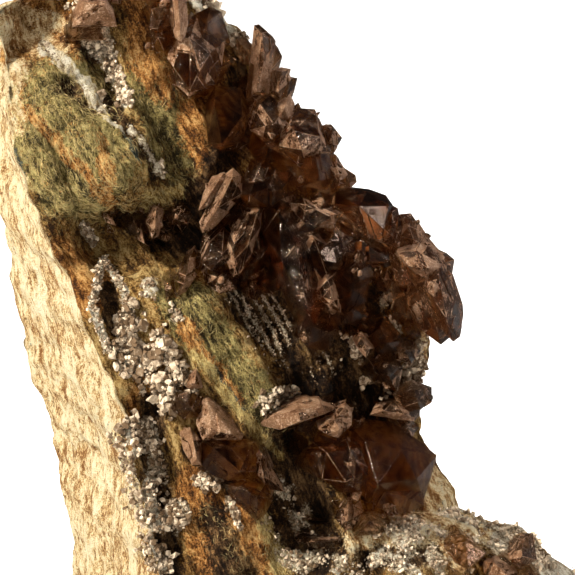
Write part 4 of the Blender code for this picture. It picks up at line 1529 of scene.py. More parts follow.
# The crystals of each cluster: those that the photograph shows, and two clusters on the hidden side.
CLUSTERS: dict[str, tuple[Cut | Crystal, ...]] = {
    "axinite_top": (
        Cut(((72, 27, 9), (73, 10, 8.5), (84, -8, 8), (106, -8, 8), (114, 10, 9), (117, 27, 9.5),
            (103, 15, 11.5), (89, 17, 11.5), (80, 24, 11)), ((84, 2, 12.5), (104, 6, 13)), 0.85),
        Cut(((84, -14, 6), (100, -20, 6), (122, -10, 6), (120, 4, 8), (104, 2, 9)), ((108, -8, 11),),
            0.7),
    ),
    "axinite_crest": (
        Cut(((182, 19, 8), (196, 17, 7), (224, 41, 6), (218, 60, 7), (219, 78, 8), (212, 88, 9),
            (199, 94, 10), (188, 99, 10), (172, 84, 9), (167, 58, 9), (172, 36, 9)), ((190, 38, 11.5),
            (210, 54, 11), (200, 70, 12.5), (190, 90, 12.5)), 0.5),
        Cut(((149, 27, 9.5), (151, 9, 9), (160, 6, 9), (172, 9, 8.5), (170, 26, 9.5), (158, 31, 10)),
            ((164, 8, 12.5), (158, 27, 12.8)), 0.45),
        Cut(((171, -8, 9), (186, -8, 9), (188, 24, 10), (185, 36, 11.5), (181, 42, 12.5), (175, 38, 12),
            (169, 18, 10)), ((178, -2, 13), (180, 34, 14)), 0.85),
        Cut(((145, 36, 7.5), (150, 27, 8), (168, 25, 9), (174, 40, 9), (164, 51, 9), (150, 50, 8.5)),
            ((158, 37, 11.5),), 0.35),
        Cut(((236, 38, 1), (246, 37, 0), (254, 48, 1), (250, 66, 3), (240, 62, 4)), ((246, 50, 5),),
            0.15),
        Cut(((160, -10, 8), (172, -14, 8), (176, 4, 8.5), (166, 14, 9.5), (158, 8, 9)), ((167, 2, 11.5),),
            0.6),
    ),
    "axinite_left_wing": (
        Cut(((150, 206, 8), (160, 203, 8), (164, 212, 8.5), (159, 235, 11), (152, 238, 11.5),
            (146, 222, 10)), ((156, 210, 11.5), (155, 231, 13)), 0.75),
        Cut(((167, 205, 7), (186, 204, 7), (193, 214, 8), (187, 224, 10), (172, 225, 10), (165, 215, 8.5)),
            ((175, 210, 11), (182, 216, 11.5)), 0.35),
        Cut(((123, 211, 6), (139, 205, 6), (147, 221, 7), (141, 237, 8.5), (128, 233, 8.5)),
            ((134, 219, 10),), 0.2),
        Cut(((158, 228, 7), (165, 226, 7), (168, 234, 8), (163, 240, 9)), ((163, 232, 10.5),), 0.4),
        Cut(((101, 212, 6), (110, 206, 6), (119, 214, 6.5), (116, 226, 8), (106, 222, 8)),
            ((111, 215, 9.5),), 0.5),
    ),
    "axinite_main": (
        # Along the skyline, from the tall blade down.
        Cut(((254, 25, 3), (259, 24, 3.5), (268, 32, 3.5), (275, 42, 3), (273, 62, 3.5), (269, 94, 4),
            (246, 99, 4.5), (251, 62, 4)), ((262, 33, 5.5), (264, 60, 6.5), (257, 92, 7.5)), 0.55,
            (0, 20)),
        Cut(((272, 71, 2.5), (281, 67, 2.5), (291, 69, 2), (287, 84, 3), (281, 99, 4), (272, 90, 4.5)),
            ((282, 72, 5), (278, 92, 6.5)), 0.75, (-8, 10)),
        Cut(((273, 106, 4), (283, 99, 3), (290, 93, 2.5), (295, 104, 3), (289, 121, 5), (280, 118, 6)),
            ((284, 108, 7),), 0.95, (-8, 8)),
        Cut(((283, 118, 4), (291, 111, 3), (300, 108, 3), (315, 109, 2.5), (322, 126, 3), (331, 152, 4),
            (304, 158, 7), (279, 146, 7)), ((294, 131, 9), (319, 137, 7.5), (302, 150, 9.5)), 0.55,
            (-10, 10)),
        Cut(((320, 125, 1.5), (331, 125, 1), (342, 138, 1), (334, 152, 2), (325, 147, 3)),
            ((332, 136, 4.5),), 0.5, (-12, 8)),
        Cut(((330, 153, 1), (336, 155, 1), (349, 176, 1), (347, 183, 2), (338, 186, 4), (329, 166, 4)),
            ((337, 168, 4.5), (340, 180, 5.5)), 0.6, (-14, 6)),
        Cut(((299, 152, 4), (328, 151, 3), (334, 178, 4), (326, 190, 5), (303, 186, 6)), ((316, 158, 7.5),
            (320, 180, 8.5)), 0.1, (-8, 4)),
        Cut(((215, 86, 6), (240, 87, 6), (250, 108, 6), (247, 123, 7), (241, 142, 8), (221, 150, 9),
            (208, 144, 8), (205, 104, 6.5)), ((214, 98, 9.5), (242, 116, 9.5), (222, 144, 11)),
            0.02),
        Cut(((247, 92, 4), (271, 95, 4), (284, 110, 4), (290, 126, 5), (270, 141, 7), (250, 130, 7)),
            ((260, 104, 8), (274, 124, 9)), 0.6),
        Cut(((251, 130, 5), (280, 137, 5), (286, 158, 6), (264, 164, 7), (249, 152, 7)), ((268, 146, 10),),
            0.2),
        Cut(((276, 152, 4), (300, 160, 4), (306, 184, 6), (284, 190, 7), (270, 172, 7)), ((290, 172, 9.5),),
            0.1),
        # The long blades of the middle.
        Cut(((212, 176, 8), (224, 173, 8), (229, 180, 9), (210, 206, 11), (199, 210, 10), (203, 193, 9)),
            ((219, 180, 11), (206, 200, 12.5)), 0.8),
        Cut(((225, 174, 8), (233, 168, 8.5), (241, 175, 9), (241, 194, 10), (229, 212, 11), (213, 229, 12),
            (203, 232, 12), (199, 222, 11.5), (214, 196, 10)), ((232, 178, 12.5), (218, 208, 14.5),
            (206, 224, 14)), 0.75),
        Cut(((245, 206, 9), (262, 206, 9.5), (261, 226, 11), (252, 254, 13), (241, 273, 13.5),
            (234, 276, 13.5), (226, 262, 13), (228, 240, 12), (237, 216, 10)), ((257, 213, 13),
            (248, 245, 16), (236, 258, 16)), 0.6),
        Cut(((243, 177, 7), (251, 161, 7), (262, 157, 7), (276, 167, 7), (285, 186, 7.5), (282, 197, 8.5),
            (268, 207, 11), (248, 208, 11), (239, 195, 9.5)), ((260, 168, 11), (268, 188, 13),
            (250, 194, 13)), 0.3),
        Cut(((266, 205, 8.5), (281, 197, 8), (300, 226, 9), (318, 262, 10), (323, 300, 12), (316, 326, 14),
            (300, 331, 15), (286, 302, 14.5), (273, 264, 13), (264, 232, 10.5)), ((279, 210, 12),
            (296, 244, 15), (282, 262, 16), (306, 310, 17.5)), 0.3),
        Cut(((284, 202, 6), (303, 198, 6), (330, 207, 5.5), (340, 213, 6), (334, 227, 8.5), (316, 229, 10),
            (303, 222, 10.5)), ((306, 205, 10), (330, 216, 10)), 0.65),
        Cut(((317, 255, 10), (337, 231, 8.5), (346, 248, 8), (344, 268, 10), (328, 270, 12)),
            ((319, 254, 12.6), (337, 232, 10.6), (342, 258, 11.1)), 0.2),
        Cut(((331, 276, 8), (344, 260, 8), (363, 257, 8), (370, 276, 9.5), (367, 300, 11.5), (346, 313, 13),
            (336, 302, 13), (329, 288, 11.5)), ((342, 274, 13), (354, 290, 15.5)), 0.05),
        Cut(((349, 277, 12), (357, 263, 11), (371, 264, 10), (374, 276, 11), (362, 289, 14),
            (352, 287, 14.5)), ((360, 270, 14), (360, 280, 15.5)), 0.1),
        Cut(((312, 284, 11), (323, 267, 10), (336, 273, 10), (341, 298, 12.5), (341, 313, 14),
            (328, 307, 14), (315, 294, 13)), ((327, 280, 14.5), (333, 300, 16)), 0.6),
        Cut(((298, 320, 9), (331, 304, 9), (339, 328, 10), (329, 351, 11.5), (307, 348, 12.5),
            (297, 334, 12)), ((312, 326, 14), (328, 332, 14)), 0.3),
        Cut(((339, 302, 9), (363, 296, 9), (368, 316, 10), (356, 326, 11.5), (341, 323, 12)),
            ((352, 309, 13.5),), 0.05),
        # The left edge of the middle.
        Cut(((203, 236, 9), (224, 227, 9), (237, 240, 10), (229, 262, 12), (212, 271, 13), (200, 262, 12)),
            ((210, 242, 13), (222, 254, 14.5)), 0.45),
        Cut(((186, 252, 8), (195, 245, 8), (201, 257, 9), (197, 275, 11), (186, 292, 12), (176, 297, 12),
            (174, 280, 10.5)), ((190, 258, 12.5), (184, 284, 14)), 0.6),
        Cut(((161, 277, 7), (170, 265, 7), (179, 276, 8.5), (176, 296, 10), (166, 301, 10)),
            ((170, 282, 11.5),), 0.3),
        Cut(((206, 269, 9), (222, 262, 9), (239, 272, 10), (238, 289, 11.5), (220, 294, 12),
            (208, 284, 11)), ((222, 274, 13),), 0.45),
        Cut(((240, 277, 8), (252, 262, 9), (264, 274, 9), (265, 291, 9.5), (256, 301, 10), (242, 295, 10)),
            ((252, 280, 12),), 0.4),
        # The ridge on the right, and the blade that hangs from it.
        Cut(((335, 192, 3), (352, 187, 2), (369, 189, 2), (386, 195, 2), (393, 205, 3), (387, 230, 6.5),
            (381, 239, 8), (370, 239, 8.5), (350, 219, 7.5), (335, 204, 5.5)), ((359, 206, 9.6),
            (389, 206, 7.5), (383, 229, 8.7), (367, 191, 4.5)), 0.2, (-16, 6)),
        Cut(((388, 203, 2), (398, 208, 2), (402, 228, 3), (399, 247, 6), (378, 241, 8.5), (384, 229, 8)),
            ((392, 212, 5.5), (392, 236, 9)), 0.4, (-14, 4)),
        Cut(((400, 214, 0), (411, 213, 0), (424, 232, 0.5), (428, 246, 2), (412, 248, 5), (401, 236, 5)),
            ((409, 226, 4.5), (414, 240, 6)), 0.7, (-18, 4)),
        Cut(((398, 244, 5), (412, 240, 3), (426, 234, 1), (441, 252, 0.5), (451, 265, 0.5), (449, 277, 3),
            (430, 282, 7), (409, 266, 9), (397, 253, 8)), ((416, 250, 7.5), (436, 262, 6.5),
            (424, 270, 9.5)), 0.6, (-20, 2)),
        Cut(((430, 262, 4), (448, 261, 1), (456, 284, 0.5), (462, 304, 0.5), (463, 319, 1), (460, 336, 3),
            (453, 341, 4), (445, 333, 6), (436, 312, 8), (425, 286, 8.5)), ((438, 272, 8), (451, 300, 6.5),
            (446, 318, 9)), 0.4, (-12, -16)),
        Cut(((426, 280, 6), (438, 276, 6), (442, 290, 7), (434, 297, 9.5), (428, 292, 9.5)),
            ((434, 285, 11),), 0.7),
        Cut(((340, 222, 5), (360, 226, 5), (390, 250, 6), (388, 262, 8), (362, 262, 9), (342, 246, 8)),
            ((362, 240, 9.5),), 0.05, (0, 6)),
        Cut(((391, 262, 4), (405, 261, 4), (413, 275, 6), (410, 285, 9), (401, 284, 9), (394, 272, 8)),
            ((403, 270, 10),), 0.3, (-6, -6)),
        Cut(((376, 272, 2), (388, 268, 2), (394, 280, 3), (388, 292, 5), (377, 290, 5.5)), ((384, 280, 7),),
            0.5),
        Cut(((408, 276, 4), (428, 282, 4), (444, 308, 2.5), (452, 336, 2), (441, 345, 3.5), (424, 332, 6),
            (411, 306, 7)), ((422, 298, 9), (436, 326, 7.5)), 0.45, (-22, -10)),
        Cut(((377, 352, 5), (392, 348, 4.5), (403, 368, 4.5), (398, 392, 6), (384, 388, 7.5),
            (373, 370, 8)), ((386, 364, 10), (391, 382, 10)), 0.3),
        Cut(((352, 337, 8), (358, 330, 8), (368, 335, 8), (375, 348, 10), (366, 358, 12), (356, 347, 12)),
            ((361, 337, 12.5), (366, 349, 13.5)), 0.7),
        Cut(((362, 322, 5), (384, 315, 5), (401, 334, 5.5), (397, 352, 8), (378, 354, 10), (366, 338, 9.5)),
            ((380, 328, 10.5), (388, 343, 11)), 0.1),
        Cut(((392, 342, 2), (408, 336, 1), (420, 350, 2), (412, 364, 5), (396, 360, 6)), ((405, 350, 8),),
            0.5, (-10, 0)),
    ),
    "axinite_right_low": (
        Cut(((402, 386, 2), (412, 380, 1.5), (432, 387, 1), (432, 399, 2), (421, 410, 5), (404, 407, 6),
            (397, 395, 5)), ((414, 390, 6.5), (418, 402, 7.5)), 0.4, (-16, 0)),
        Cut(((377, 403, 5), (394, 400, 4.5), (403, 409, 4), (419, 409, 3), (414, 421, 5.5), (400, 420, 8),
            (370, 415, 8)), ((384, 411, 9.5), (404, 414, 8.5)), 0.6, (-8, 4)),
        Cut(((401, 420, 2), (413, 420, 1.5), (416, 430, 1.5), (412, 439, 4), (402, 432, 5.5)),
            ((408, 427, 6.5),), 0.4, (-12, 4)),
    ),
    "axinite_lower": (
        # The pale wedge across the top, and its two ends on the right.
        Cut(((257, 425, 10), (262, 413, 8.5), (276, 403, 8), (295, 397, 8), (317, 396, 8), (331, 403, 9),
            (338, 408, 10), (325, 414, 13.5), (300, 421, 14.5), (280, 430, 13)), ((272, 416, 13.5),
            (298, 409, 15), (322, 406, 14)), 0.92),
        Cut(((329, 406, 9), (346, 399, 8.5), (354, 407, 9), (351, 417, 11.5), (334, 420, 13)),
            ((344, 408, 13),), 0.8),
        Cut(((316, 421, 11), (334, 412, 10), (352, 412, 10), (351, 425, 12), (338, 438, 14), (327, 435, 14),
            (318, 429, 13.5)), ((334, 420, 15), (339, 429, 16)), 0.7),
        # The large flat crystal and the clear block behind it.
        Cut(((303, 453, 9), (314, 443, 9), (345, 436, 9), (363, 445, 10), (374, 462, 11), (373, 478, 12.5),
            (360, 492, 13.5), (342, 493, 13.5), (322, 479, 12.5)), ((326, 452, 15), (350, 450, 15.5),
            (362, 472, 16), (346, 482, 16)), 0.35),
        Cut(((348, 424, 7), (364, 419, 6.5), (384, 421, 6), (403, 431, 5), (424, 446, 3.5), (437, 455, 3),
            (431, 478, 5), (424, 499, 6), (404, 501, 9), (372, 497, 12), (362, 470, 12.5)),
            ((364, 440, 12.5), (402, 450, 12.5), (417, 479, 11.5), (378, 484, 15)), 0.1, (-8, 6)),
        Cut(((371, 482, 9), (400, 478, 8), (421, 482, 7), (423, 505, 8), (400, 514, 10), (376, 507, 11)),
            ((384, 492, 13), (406, 496, 12)), 0.05),
        Cut(((337, 506, 8), (346, 494, 8), (358, 494, 8), (363, 512, 9.5), (353, 528, 12), (345, 531, 12.5),
            (336, 519, 11)), ((348, 503, 12.5), (348, 521, 14)), 0.55),
        Cut(((350, 490, 10), (356, 486, 10), (362, 492, 10.5), (358, 501, 13), (351, 498, 13)),
            ((356, 493, 14.5),), 0.8),
        Cut(((381, 501, 8), (391, 496, 8), (402, 504, 8.5), (398, 515, 10.5), (386, 516, 11)),
            ((391, 506, 13),), 0.6),
        Cut(((352, 512, 7), (378, 508, 7), (392, 520, 8), (382, 534, 10), (356, 536, 11)),
            ((370, 520, 12),), 0.1),
        Cut(((292, 532, 6), (320, 536, 7), (345, 531, 7), (352, 538, 8.5), (338, 547, 10), (318, 549, 10.5),
            (299, 543, 9)), ((316, 541, 11.5), (338, 539, 11)), 0.4),
        Cut(((284, 434, 4), (306, 426, 4), (318, 440, 5), (302, 456, 7.5), (286, 452, 8)),
            ((300, 440, 10),), 0.05),
    ),
    "axinite_lower_left": (
        Cut(((186, 373, 8), (195, 360, 8), (204, 358, 8), (208, 374, 9), (203, 388, 11), (188, 389, 11.5),
            (182, 383, 11)), ((197, 366, 11.5), (195, 383, 14)), 0.85),
        Cut(((168, 393, 8), (186, 384, 8), (202, 387, 9), (205, 404, 10), (200, 417, 12), (184, 419, 12),
            (169, 409, 11)), ((182, 394, 13), (192, 408, 14.5)), 0.35),
        Cut(((199, 400, 10), (206, 392, 9.5), (214, 394, 9.5), (224, 406, 10), (246, 433, 11),
            (241, 440, 13.5), (203, 440, 14), (196, 424, 13)), ((207, 402, 13), (212, 430, 16),
            (232, 434, 15)), 0.82),
        Cut(((202, 441, 12), (230, 437, 11.5), (257, 438, 11), (263, 450, 11.5), (256, 471, 13),
            (245, 479, 14), (228, 481, 14.5), (213, 475, 14.5), (201, 465, 14)), ((214, 448, 16),
            (250, 447, 15), (240, 472, 16.4)), 0.25),
        Cut(((179, 431, 9.5), (190, 427, 10), (201, 440, 11.5), (203, 465, 13.5), (192, 465, 13),
            (184, 450, 12)), ((193, 440, 14), (197, 458, 15.5)), 0.75),
        Cut(((255, 440, 9), (264, 442, 9), (273, 468, 10), (285, 492, 11), (271, 490, 13), (258, 475, 13.5),
            (255, 455, 13)), ((262, 454, 14.5), (268, 478, 15)), 0.6),
        Cut(((221, 482, 11), (250, 478, 10.5), (268, 480, 10.5), (273, 500, 11), (265, 515, 12.5),
            (257, 521, 13), (247, 506, 13.5), (232, 499, 13.5)), ((238, 488, 15), (258, 496, 15.5)),
            0.25),
    ),
    "axinite_foot": (
        Cut(((446, 530, 7.5), (455, 525, 7.5), (466, 538, 7.5), (488, 553, 8), (468, 570, 11.5),
            (455, 563, 11.5), (444, 547, 10.5)), ((466, 541, 12), (486, 553, 11), (468, 568, 12.8)),
            0.2),
        Cut(((483, 561, 6.5), (495, 555, 6.5), (513, 562, 6.5), (518, 573, 7.5), (500, 586, 11),
            (486, 581, 11)), ((494, 563, 11), (506, 574, 12)), 0.85),
        Cut(((444, 560, 7.5), (456, 566, 7.5), (470, 572, 8), (470, 590, 10.5), (448, 590, 11)),
            ((458, 577, 12.5),), 0.3),
    ),
    "axinite_foot_tip": (
        Cut(((508, 548, 4), (514, 538, 3.5), (526, 533, 3), (533, 533, 3), (532, 546, 3.5), (537, 560, 5.5),
            (520, 568, 8.5), (508, 560, 7.5)), ((523, 540, 7), (522, 556, 9.5)), 0.6, (-6, 8)),
        Cut(((517, 569, 5), (530, 563, 5), (541, 575, 5.5), (536, 590, 8), (522, 590, 9)), ((527, 572, 9.5),
            (532, 582, 10)), 0.2, (-6, 4)),
    ),
    "axinite_back_upper": (
        Crystal((-1.0, 57.0, -14.5), (4.4, 61.8, -20.0), 4.8, 3.4, 20, Habit.AXE),
        Crystal((0.6, 56.0, -13.5), (7.4, 55.4, -17.8), 4.6, 3.4, -15, Habit.BLOCK),
        Crystal((-2.4, 55.6, -14.5), (-1.6, 51.0, -21.6), 5.2, 3.6, 35, Habit.AXE),
        Crystal((-0.4, 56.4, -14.5), (-3.4, 59.8, -21.2), 4.0, 3.0, -30, Habit.AXE),
    ),
    "axinite_back_lower": (
        Crystal((6.8, 33.0, -15.5), (12.0, 36.8, -20.2), 5.0, 3.6, -10, Habit.AXE),
        Crystal((6.6, 32.0, -15.5), (9.4, 27.0, -22.0), 5.4, 3.8, 25, Habit.BLOCK),
        Crystal((5.4, 33.0, -15.5), (1.4, 35.2, -21.8), 4.2, 3.0, 40, Habit.AXE),
    ),
}


class Gathering(Enum):
    """How grains gather on the rock: evenly, in clumps, or in rows along the layers."""

    EVEN = "even"
    CLUMPS = "clumps"
    ROWS = "rows"


@dataclass(frozen=True)
class GrainPatch:
    """Grains strewn along a band: how many, their sizes in millimetres, and how high they are piled."""

    band: Band
    count: int
    smallest: float
    largest: float
    pile: float = 0.0
    gathering: Gathering = Gathering.CLUMPS
    # How stained a patch's grains are; kept low where grains lie in shade, so they are painted paler as
    # painted light.
    stain_and_painted_light: float = 0.35

    def weight(self, points: Array, flow: Array) -> Array:
        """How thickly the grains lie at each point.

        The band's weight is multiplied by a mask: noise of 2 mm for clumps, or a wave of 1 mm
        across the layers, wavering and broken by noise, for rows.

        Args:
            points: slab points.
            flow: place along and across the layers.

        Returns:
            Weights from 0 to 1.
        """
        inside = self.band.weight(points[..., 0], points[..., 1])
        if self.gathering is Gathering.EVEN:
            return inside
        if self.gathering is Gathering.CLUMPS:
            return inside * smooth_step(-0.22, 0.22, Noise(61).fractal(points, 2.4, 3))
        waver = 2.4 * Noise(62).fractal(flow * (0.3, 1.0, 1.0), 3.0, 2)
        rows = smooth_step(0.2, 0.8, np.sin(flow[..., 1] * 2 * pi + waver))
        return inside * rows * smooth_step(-0.2, 0.2, Noise(63).fractal(flow * (0.4, 1.0, 1.0), 2.6, 2))


GRAIN_PATCHES: tuple[GrainPatch, ...] = (
    # The vein across the top left, its thin end, and the two grooves beside it.
    GrainPatch(Band(((44, 46), (62, 62), (84, 84), (104, 112)), 6, 3), 110, 0.1, 0.22, 0.0, Gathering.EVEN),
    GrainPatch(Band(((132, 128), (146, 146), (164, 176)), 2.0, 1.6), 40, 0.1, 0.2, 0.0, Gathering.EVEN),
    # Painted light: the grains in these grooves are stained less, so paler, where they lie in shade.
    GrainPatch(Band(((90, 10), (102, 44), (116, 76), (128, 104)), 14, 6), 800, 0.14, 0.6, 0.5,
        Gathering.EVEN, stain_and_painted_light=0.1),
    GrainPatch(Band(((66, -8), (78, 20), (90, 44)), 8, 5), 200, 0.16, 0.55, 0.3, stain_and_painted_light=0.1),
    # The crust on the skyline.
    GrainPatch(Band(((182, -12), (208, 10), (238, 40), (250, 52)), 11, 8), 420, 0.18, 0.7, 0.5),
    # The ring round the dark lens, and the heavy grains beside it.
    GrainPatch(Band(((100, 266), (94, 306), (108, 348)), 4, 4, 0.5), 170, 0.16, 0.5, 0.2, Gathering.EVEN),
    GrainPatch(Band(((104, 262), (126, 292), (126, 340), (110, 350)), 4, 4, 0.5), 190, 0.16, 0.5, 0.2,
        Gathering.EVEN),
    GrainPatch(Band(((142, 326), (164, 358), (180, 396)), 26, 18), 1050, 0.2, 1.0, 1.1),
    GrainPatch(Band(((150, 345), (176, 372)), 20, 16), 60, 0.8, 1.3, 1.0),
    GrainPatch(Band(((124, 350), (132, 405), (142, 450)), 14, 14), 420, 0.18, 0.85, 0.5),
    GrainPatch(Band(((84, 226), (92, 244)), 5, 4), 60, 0.25, 0.6, 0.2, Gathering.EVEN),
    GrainPatch(Band(((150, 290), (176, 320)), 10, 10), 90, 0.2, 0.6, 0.2),
    # The dark trough and the lumps of grains beside it.
    GrainPatch(Band(((136, 430), (146, 470), (158, 520), (172, 600)), 22, 20), 760, 0.16, 0.7, 0.3),
    GrainPatch(Band(((178, 512),), 14, 14), 170, 0.25, 0.9, 0.9, Gathering.EVEN),
    GrainPatch(Band(((208, 480),), 11, 11), 130, 0.25, 0.8, 0.9, Gathering.EVEN),
    GrainPatch(Band(((228, 498), (240, 524)), 4, 4), 50, 0.25, 0.6, 0.3, Gathering.EVEN),
    # Rows of tiny grains beside the green band, and the white lump under them.
    GrainPatch(Band(((240, 282), (278, 335), (326, 398)), 22, 30), 1100, 0.08, 0.26, 0.05, Gathering.ROWS),
    GrainPatch(Band(((268, 400), (288, 394)), 10, 9), 170, 0.2, 0.7, 0.6, Gathering.EVEN),
    # The pale granular rock between the crystals on the right.
    GrainPatch(Band(((414, 330), (416, 368), (410, 404)), 13, 12), 420, 0.2, 0.7, 0.6),
    GrainPatch(Band(((345, 345), (378, 392)), 12, 11), 300, 0.2, 0.65, 0.5),
    GrainPatch(Band(((392, 300), (404, 330)), 12, 12), 130, 0.2, 0.6, 0.3),
    # The foot: its grains are stained less and so paler, a pale crust and painted light where they lie in
    # shade.
    GrainPatch(Band(((352, 552), (400, 540), (444, 556)), 28, 28), 900, 0.1, 0.42, 0.15, stain_and_painted_light=0.15),
    GrainPatch(Band(((448, 530), (490, 520), (540, 552), (600, 592)), 20, 24), 800, 0.12, 0.55, 0.2,
        stain_and_painted_light=0.0),
    GrainPatch(Band(((280, 500), (300, 548)), 22, 24), 200, 0.16, 0.5, 0.1),
)


@dataclass(frozen=True)
class GrainForm:
    """One grain's points about its middle, and its faces."""

    points: Array
    faces: tuple[tuple[int, ...], ...]

    @staticmethod
    def from_cube(cut: float) -> GrainForm:
        """A cube of side 1 whose corners are cut off, so far along each edge.

        Each corner gives three points, drawn in along one edge each. A face holds the points that reach
        farthest towards a side, an edge or a corner of the cube.

        Args:
            cut: how far they are drawn in, 0 for a plain cube.

        Returns:
            The form.
        """
        corners = np.array(list(itertools.product((-0.5, 0.5), repeat=3)))
        points = corners
        if cut:
            drawn = np.where(np.eye(3, dtype=bool), 1.0 - cut, 1.0)
            points = (corners[:, None, :] * drawn[None]).reshape(-1, 3)
        faces = []
        for direction in itertools.product((-1.0, 0.0, 1.0), repeat=3):
            normal = np.array(direction)
            heights = points @ normal
            reached = np.flatnonzero(heights > heights.max() - 1e-6)
            if not normal.any() or len(reached) < 3:
                continue
            away = points[reached] - points[reached].mean(axis=0)
            turn = np.arctan2(away @ np.cross(normal, away[0]), away @ away[0] * np.linalg.norm(normal))
            faces.append(tuple(reached[np.argsort(turn)].tolist()))
        return GrainForm(points, tuple(faces))


@dataclass(frozen=True)
class Strewn:
    """Where grains lie: their places on the rock, the ways out of it there, their sizes and tones."""

    places: Array
    ways: Array
    sizes: Array
    tones: Array

    def chosen(self, mask: Array) -> Strewn:
        """Only the grains that the mask picks."""
        return Strewn(self.places[mask], self.ways[mask], self.sizes[mask], self.tones[mask])


@dataclass(frozen=True)
class Grains:
    """Blocky grains strewn over the rock: large ones with cut corners, and small plain chips."""

    patches: tuple[GrainPatch, ...]
    seed: int = 5
    buried: float = 0.3
    hidden_count: int = 900
    chip_size: float = 0.46

    def build(self, skin: Skin, material: Material) -> list[Piece]:
        """Every patch's grains, joined in two pieces by their size.

        Args:
            skin: the rock's skin.
            material: finish of the grains.

        Returns:
            The pieces.
        """
        rng = np.random.default_rng(self.seed)
        facing = skin.outward[..., 2] > 0.05
        areas = skin.areas()
        rows = []
        for patch in self.patches:
            chance = areas * facing * patch.weight(skin.points, skin.flow) ** 2
            place, way = self.strewn(skin, chance, patch.count, rng)
            place = place + way * patch.pile * rng.random((patch.count, 1)) ** 1.5
            size = patch.smallest + (patch.largest - patch.smallest) * rng.random(patch.count) ** 2.2
            rows.append((place, way, size, rng.random(patch.count) + patch.stain_and_painted_light))
        hidden = areas * (skin.outward[..., 2] < 0.0) * skin.zones[Zone.WHITE] * (skin.points[..., 1] > 3.0)
        place, way = self.strewn(skin, hidden, self.hidden_count, rng)
        size = 0.25 + 0.75 * rng.random(self.hidden_count) ** 2
        rows.append((place, way, size, rng.random(self.hidden_count)))
        strewn = Strewn(*(np.concatenate(parts) for parts in zip(*rows)))
        large = strewn.sizes > self.chip_size
        return [
            self.joined("feldspar_grains", GrainForm.from_cube(0.38), strewn.chosen(large), rng, material),
            self.joined("feldspar_chips", GrainForm.from_cube(0.0), strewn.chosen(~large), rng, material),
        ]

    def strewn(self, skin: Skin, chance: Array, count: int, rng: Random) -> tuple[Array, Array]:
        """Random places on the rock, by a chance for each point.

        Args:
            skin: the rock's skin.
            chance: weight of each grid point.
            count: how many places.
            rng: random source.

        Returns:
            The places and the ways out there.
        """
        chance = chance.ravel() / chance.sum()
        place, way = skin.place(rng.choice(chance.size, count, p=chance))
        return place + 0.12 * rng.normal(size=place.shape), way

    def joined(
        self, name: str, form: GrainForm, strewn: Strewn, rng: Random, material: Material
    ) -> Piece:
        """Grains of one form as one piece.

        Each is the form, stretched, skewed, unevened and turned at random, its middle just over the rock.

        Args:
            name: name of the piece.
            form: shape of a grain.
            strewn: the grains' places, sizes and tones.
            rng: random source.
            material: finish of the grains.

        Returns:
            The piece.
        """
        count, corners = len(strewn.places), len(form.points)
        points = form.points[None] * rng.uniform((0.8, 0.6, 0.45), (1.25, 1.0, 0.9), (count, 3))[:, None, :]
        skew = rng.normal(0.0, 0.3, (count, 1))
        points[..., 0] += skew * points[..., 1] + 0.5 * skew * points[..., 2]
        points += 0.05 * rng.normal(size=points.shape)
        turns, _ = np.linalg.qr(rng.normal(size=(count, 3, 3)))
        turns[:, :, 0] *= np.sign(np.linalg.det(turns))[:, None]
        points = np.einsum("nij,npj->npi", turns, points) * strewn.sizes[:, None, None]
        points += (strewn.places + strewn.ways * (0.5 - self.buried) * strewn.sizes[:, None])[:, None, :]
        starts = range(0, count * corners, corners)
        faces = [tuple(start + corner for corner in face) for start in starts for face in form.faces]
        made = make_object(name, above_floor(points).reshape(-1, 3), faces, material)
        set_attribute(made.data, "tone", np.repeat(strewn.tones, corners))
        fit_in(made, "root", "schist")
        return made


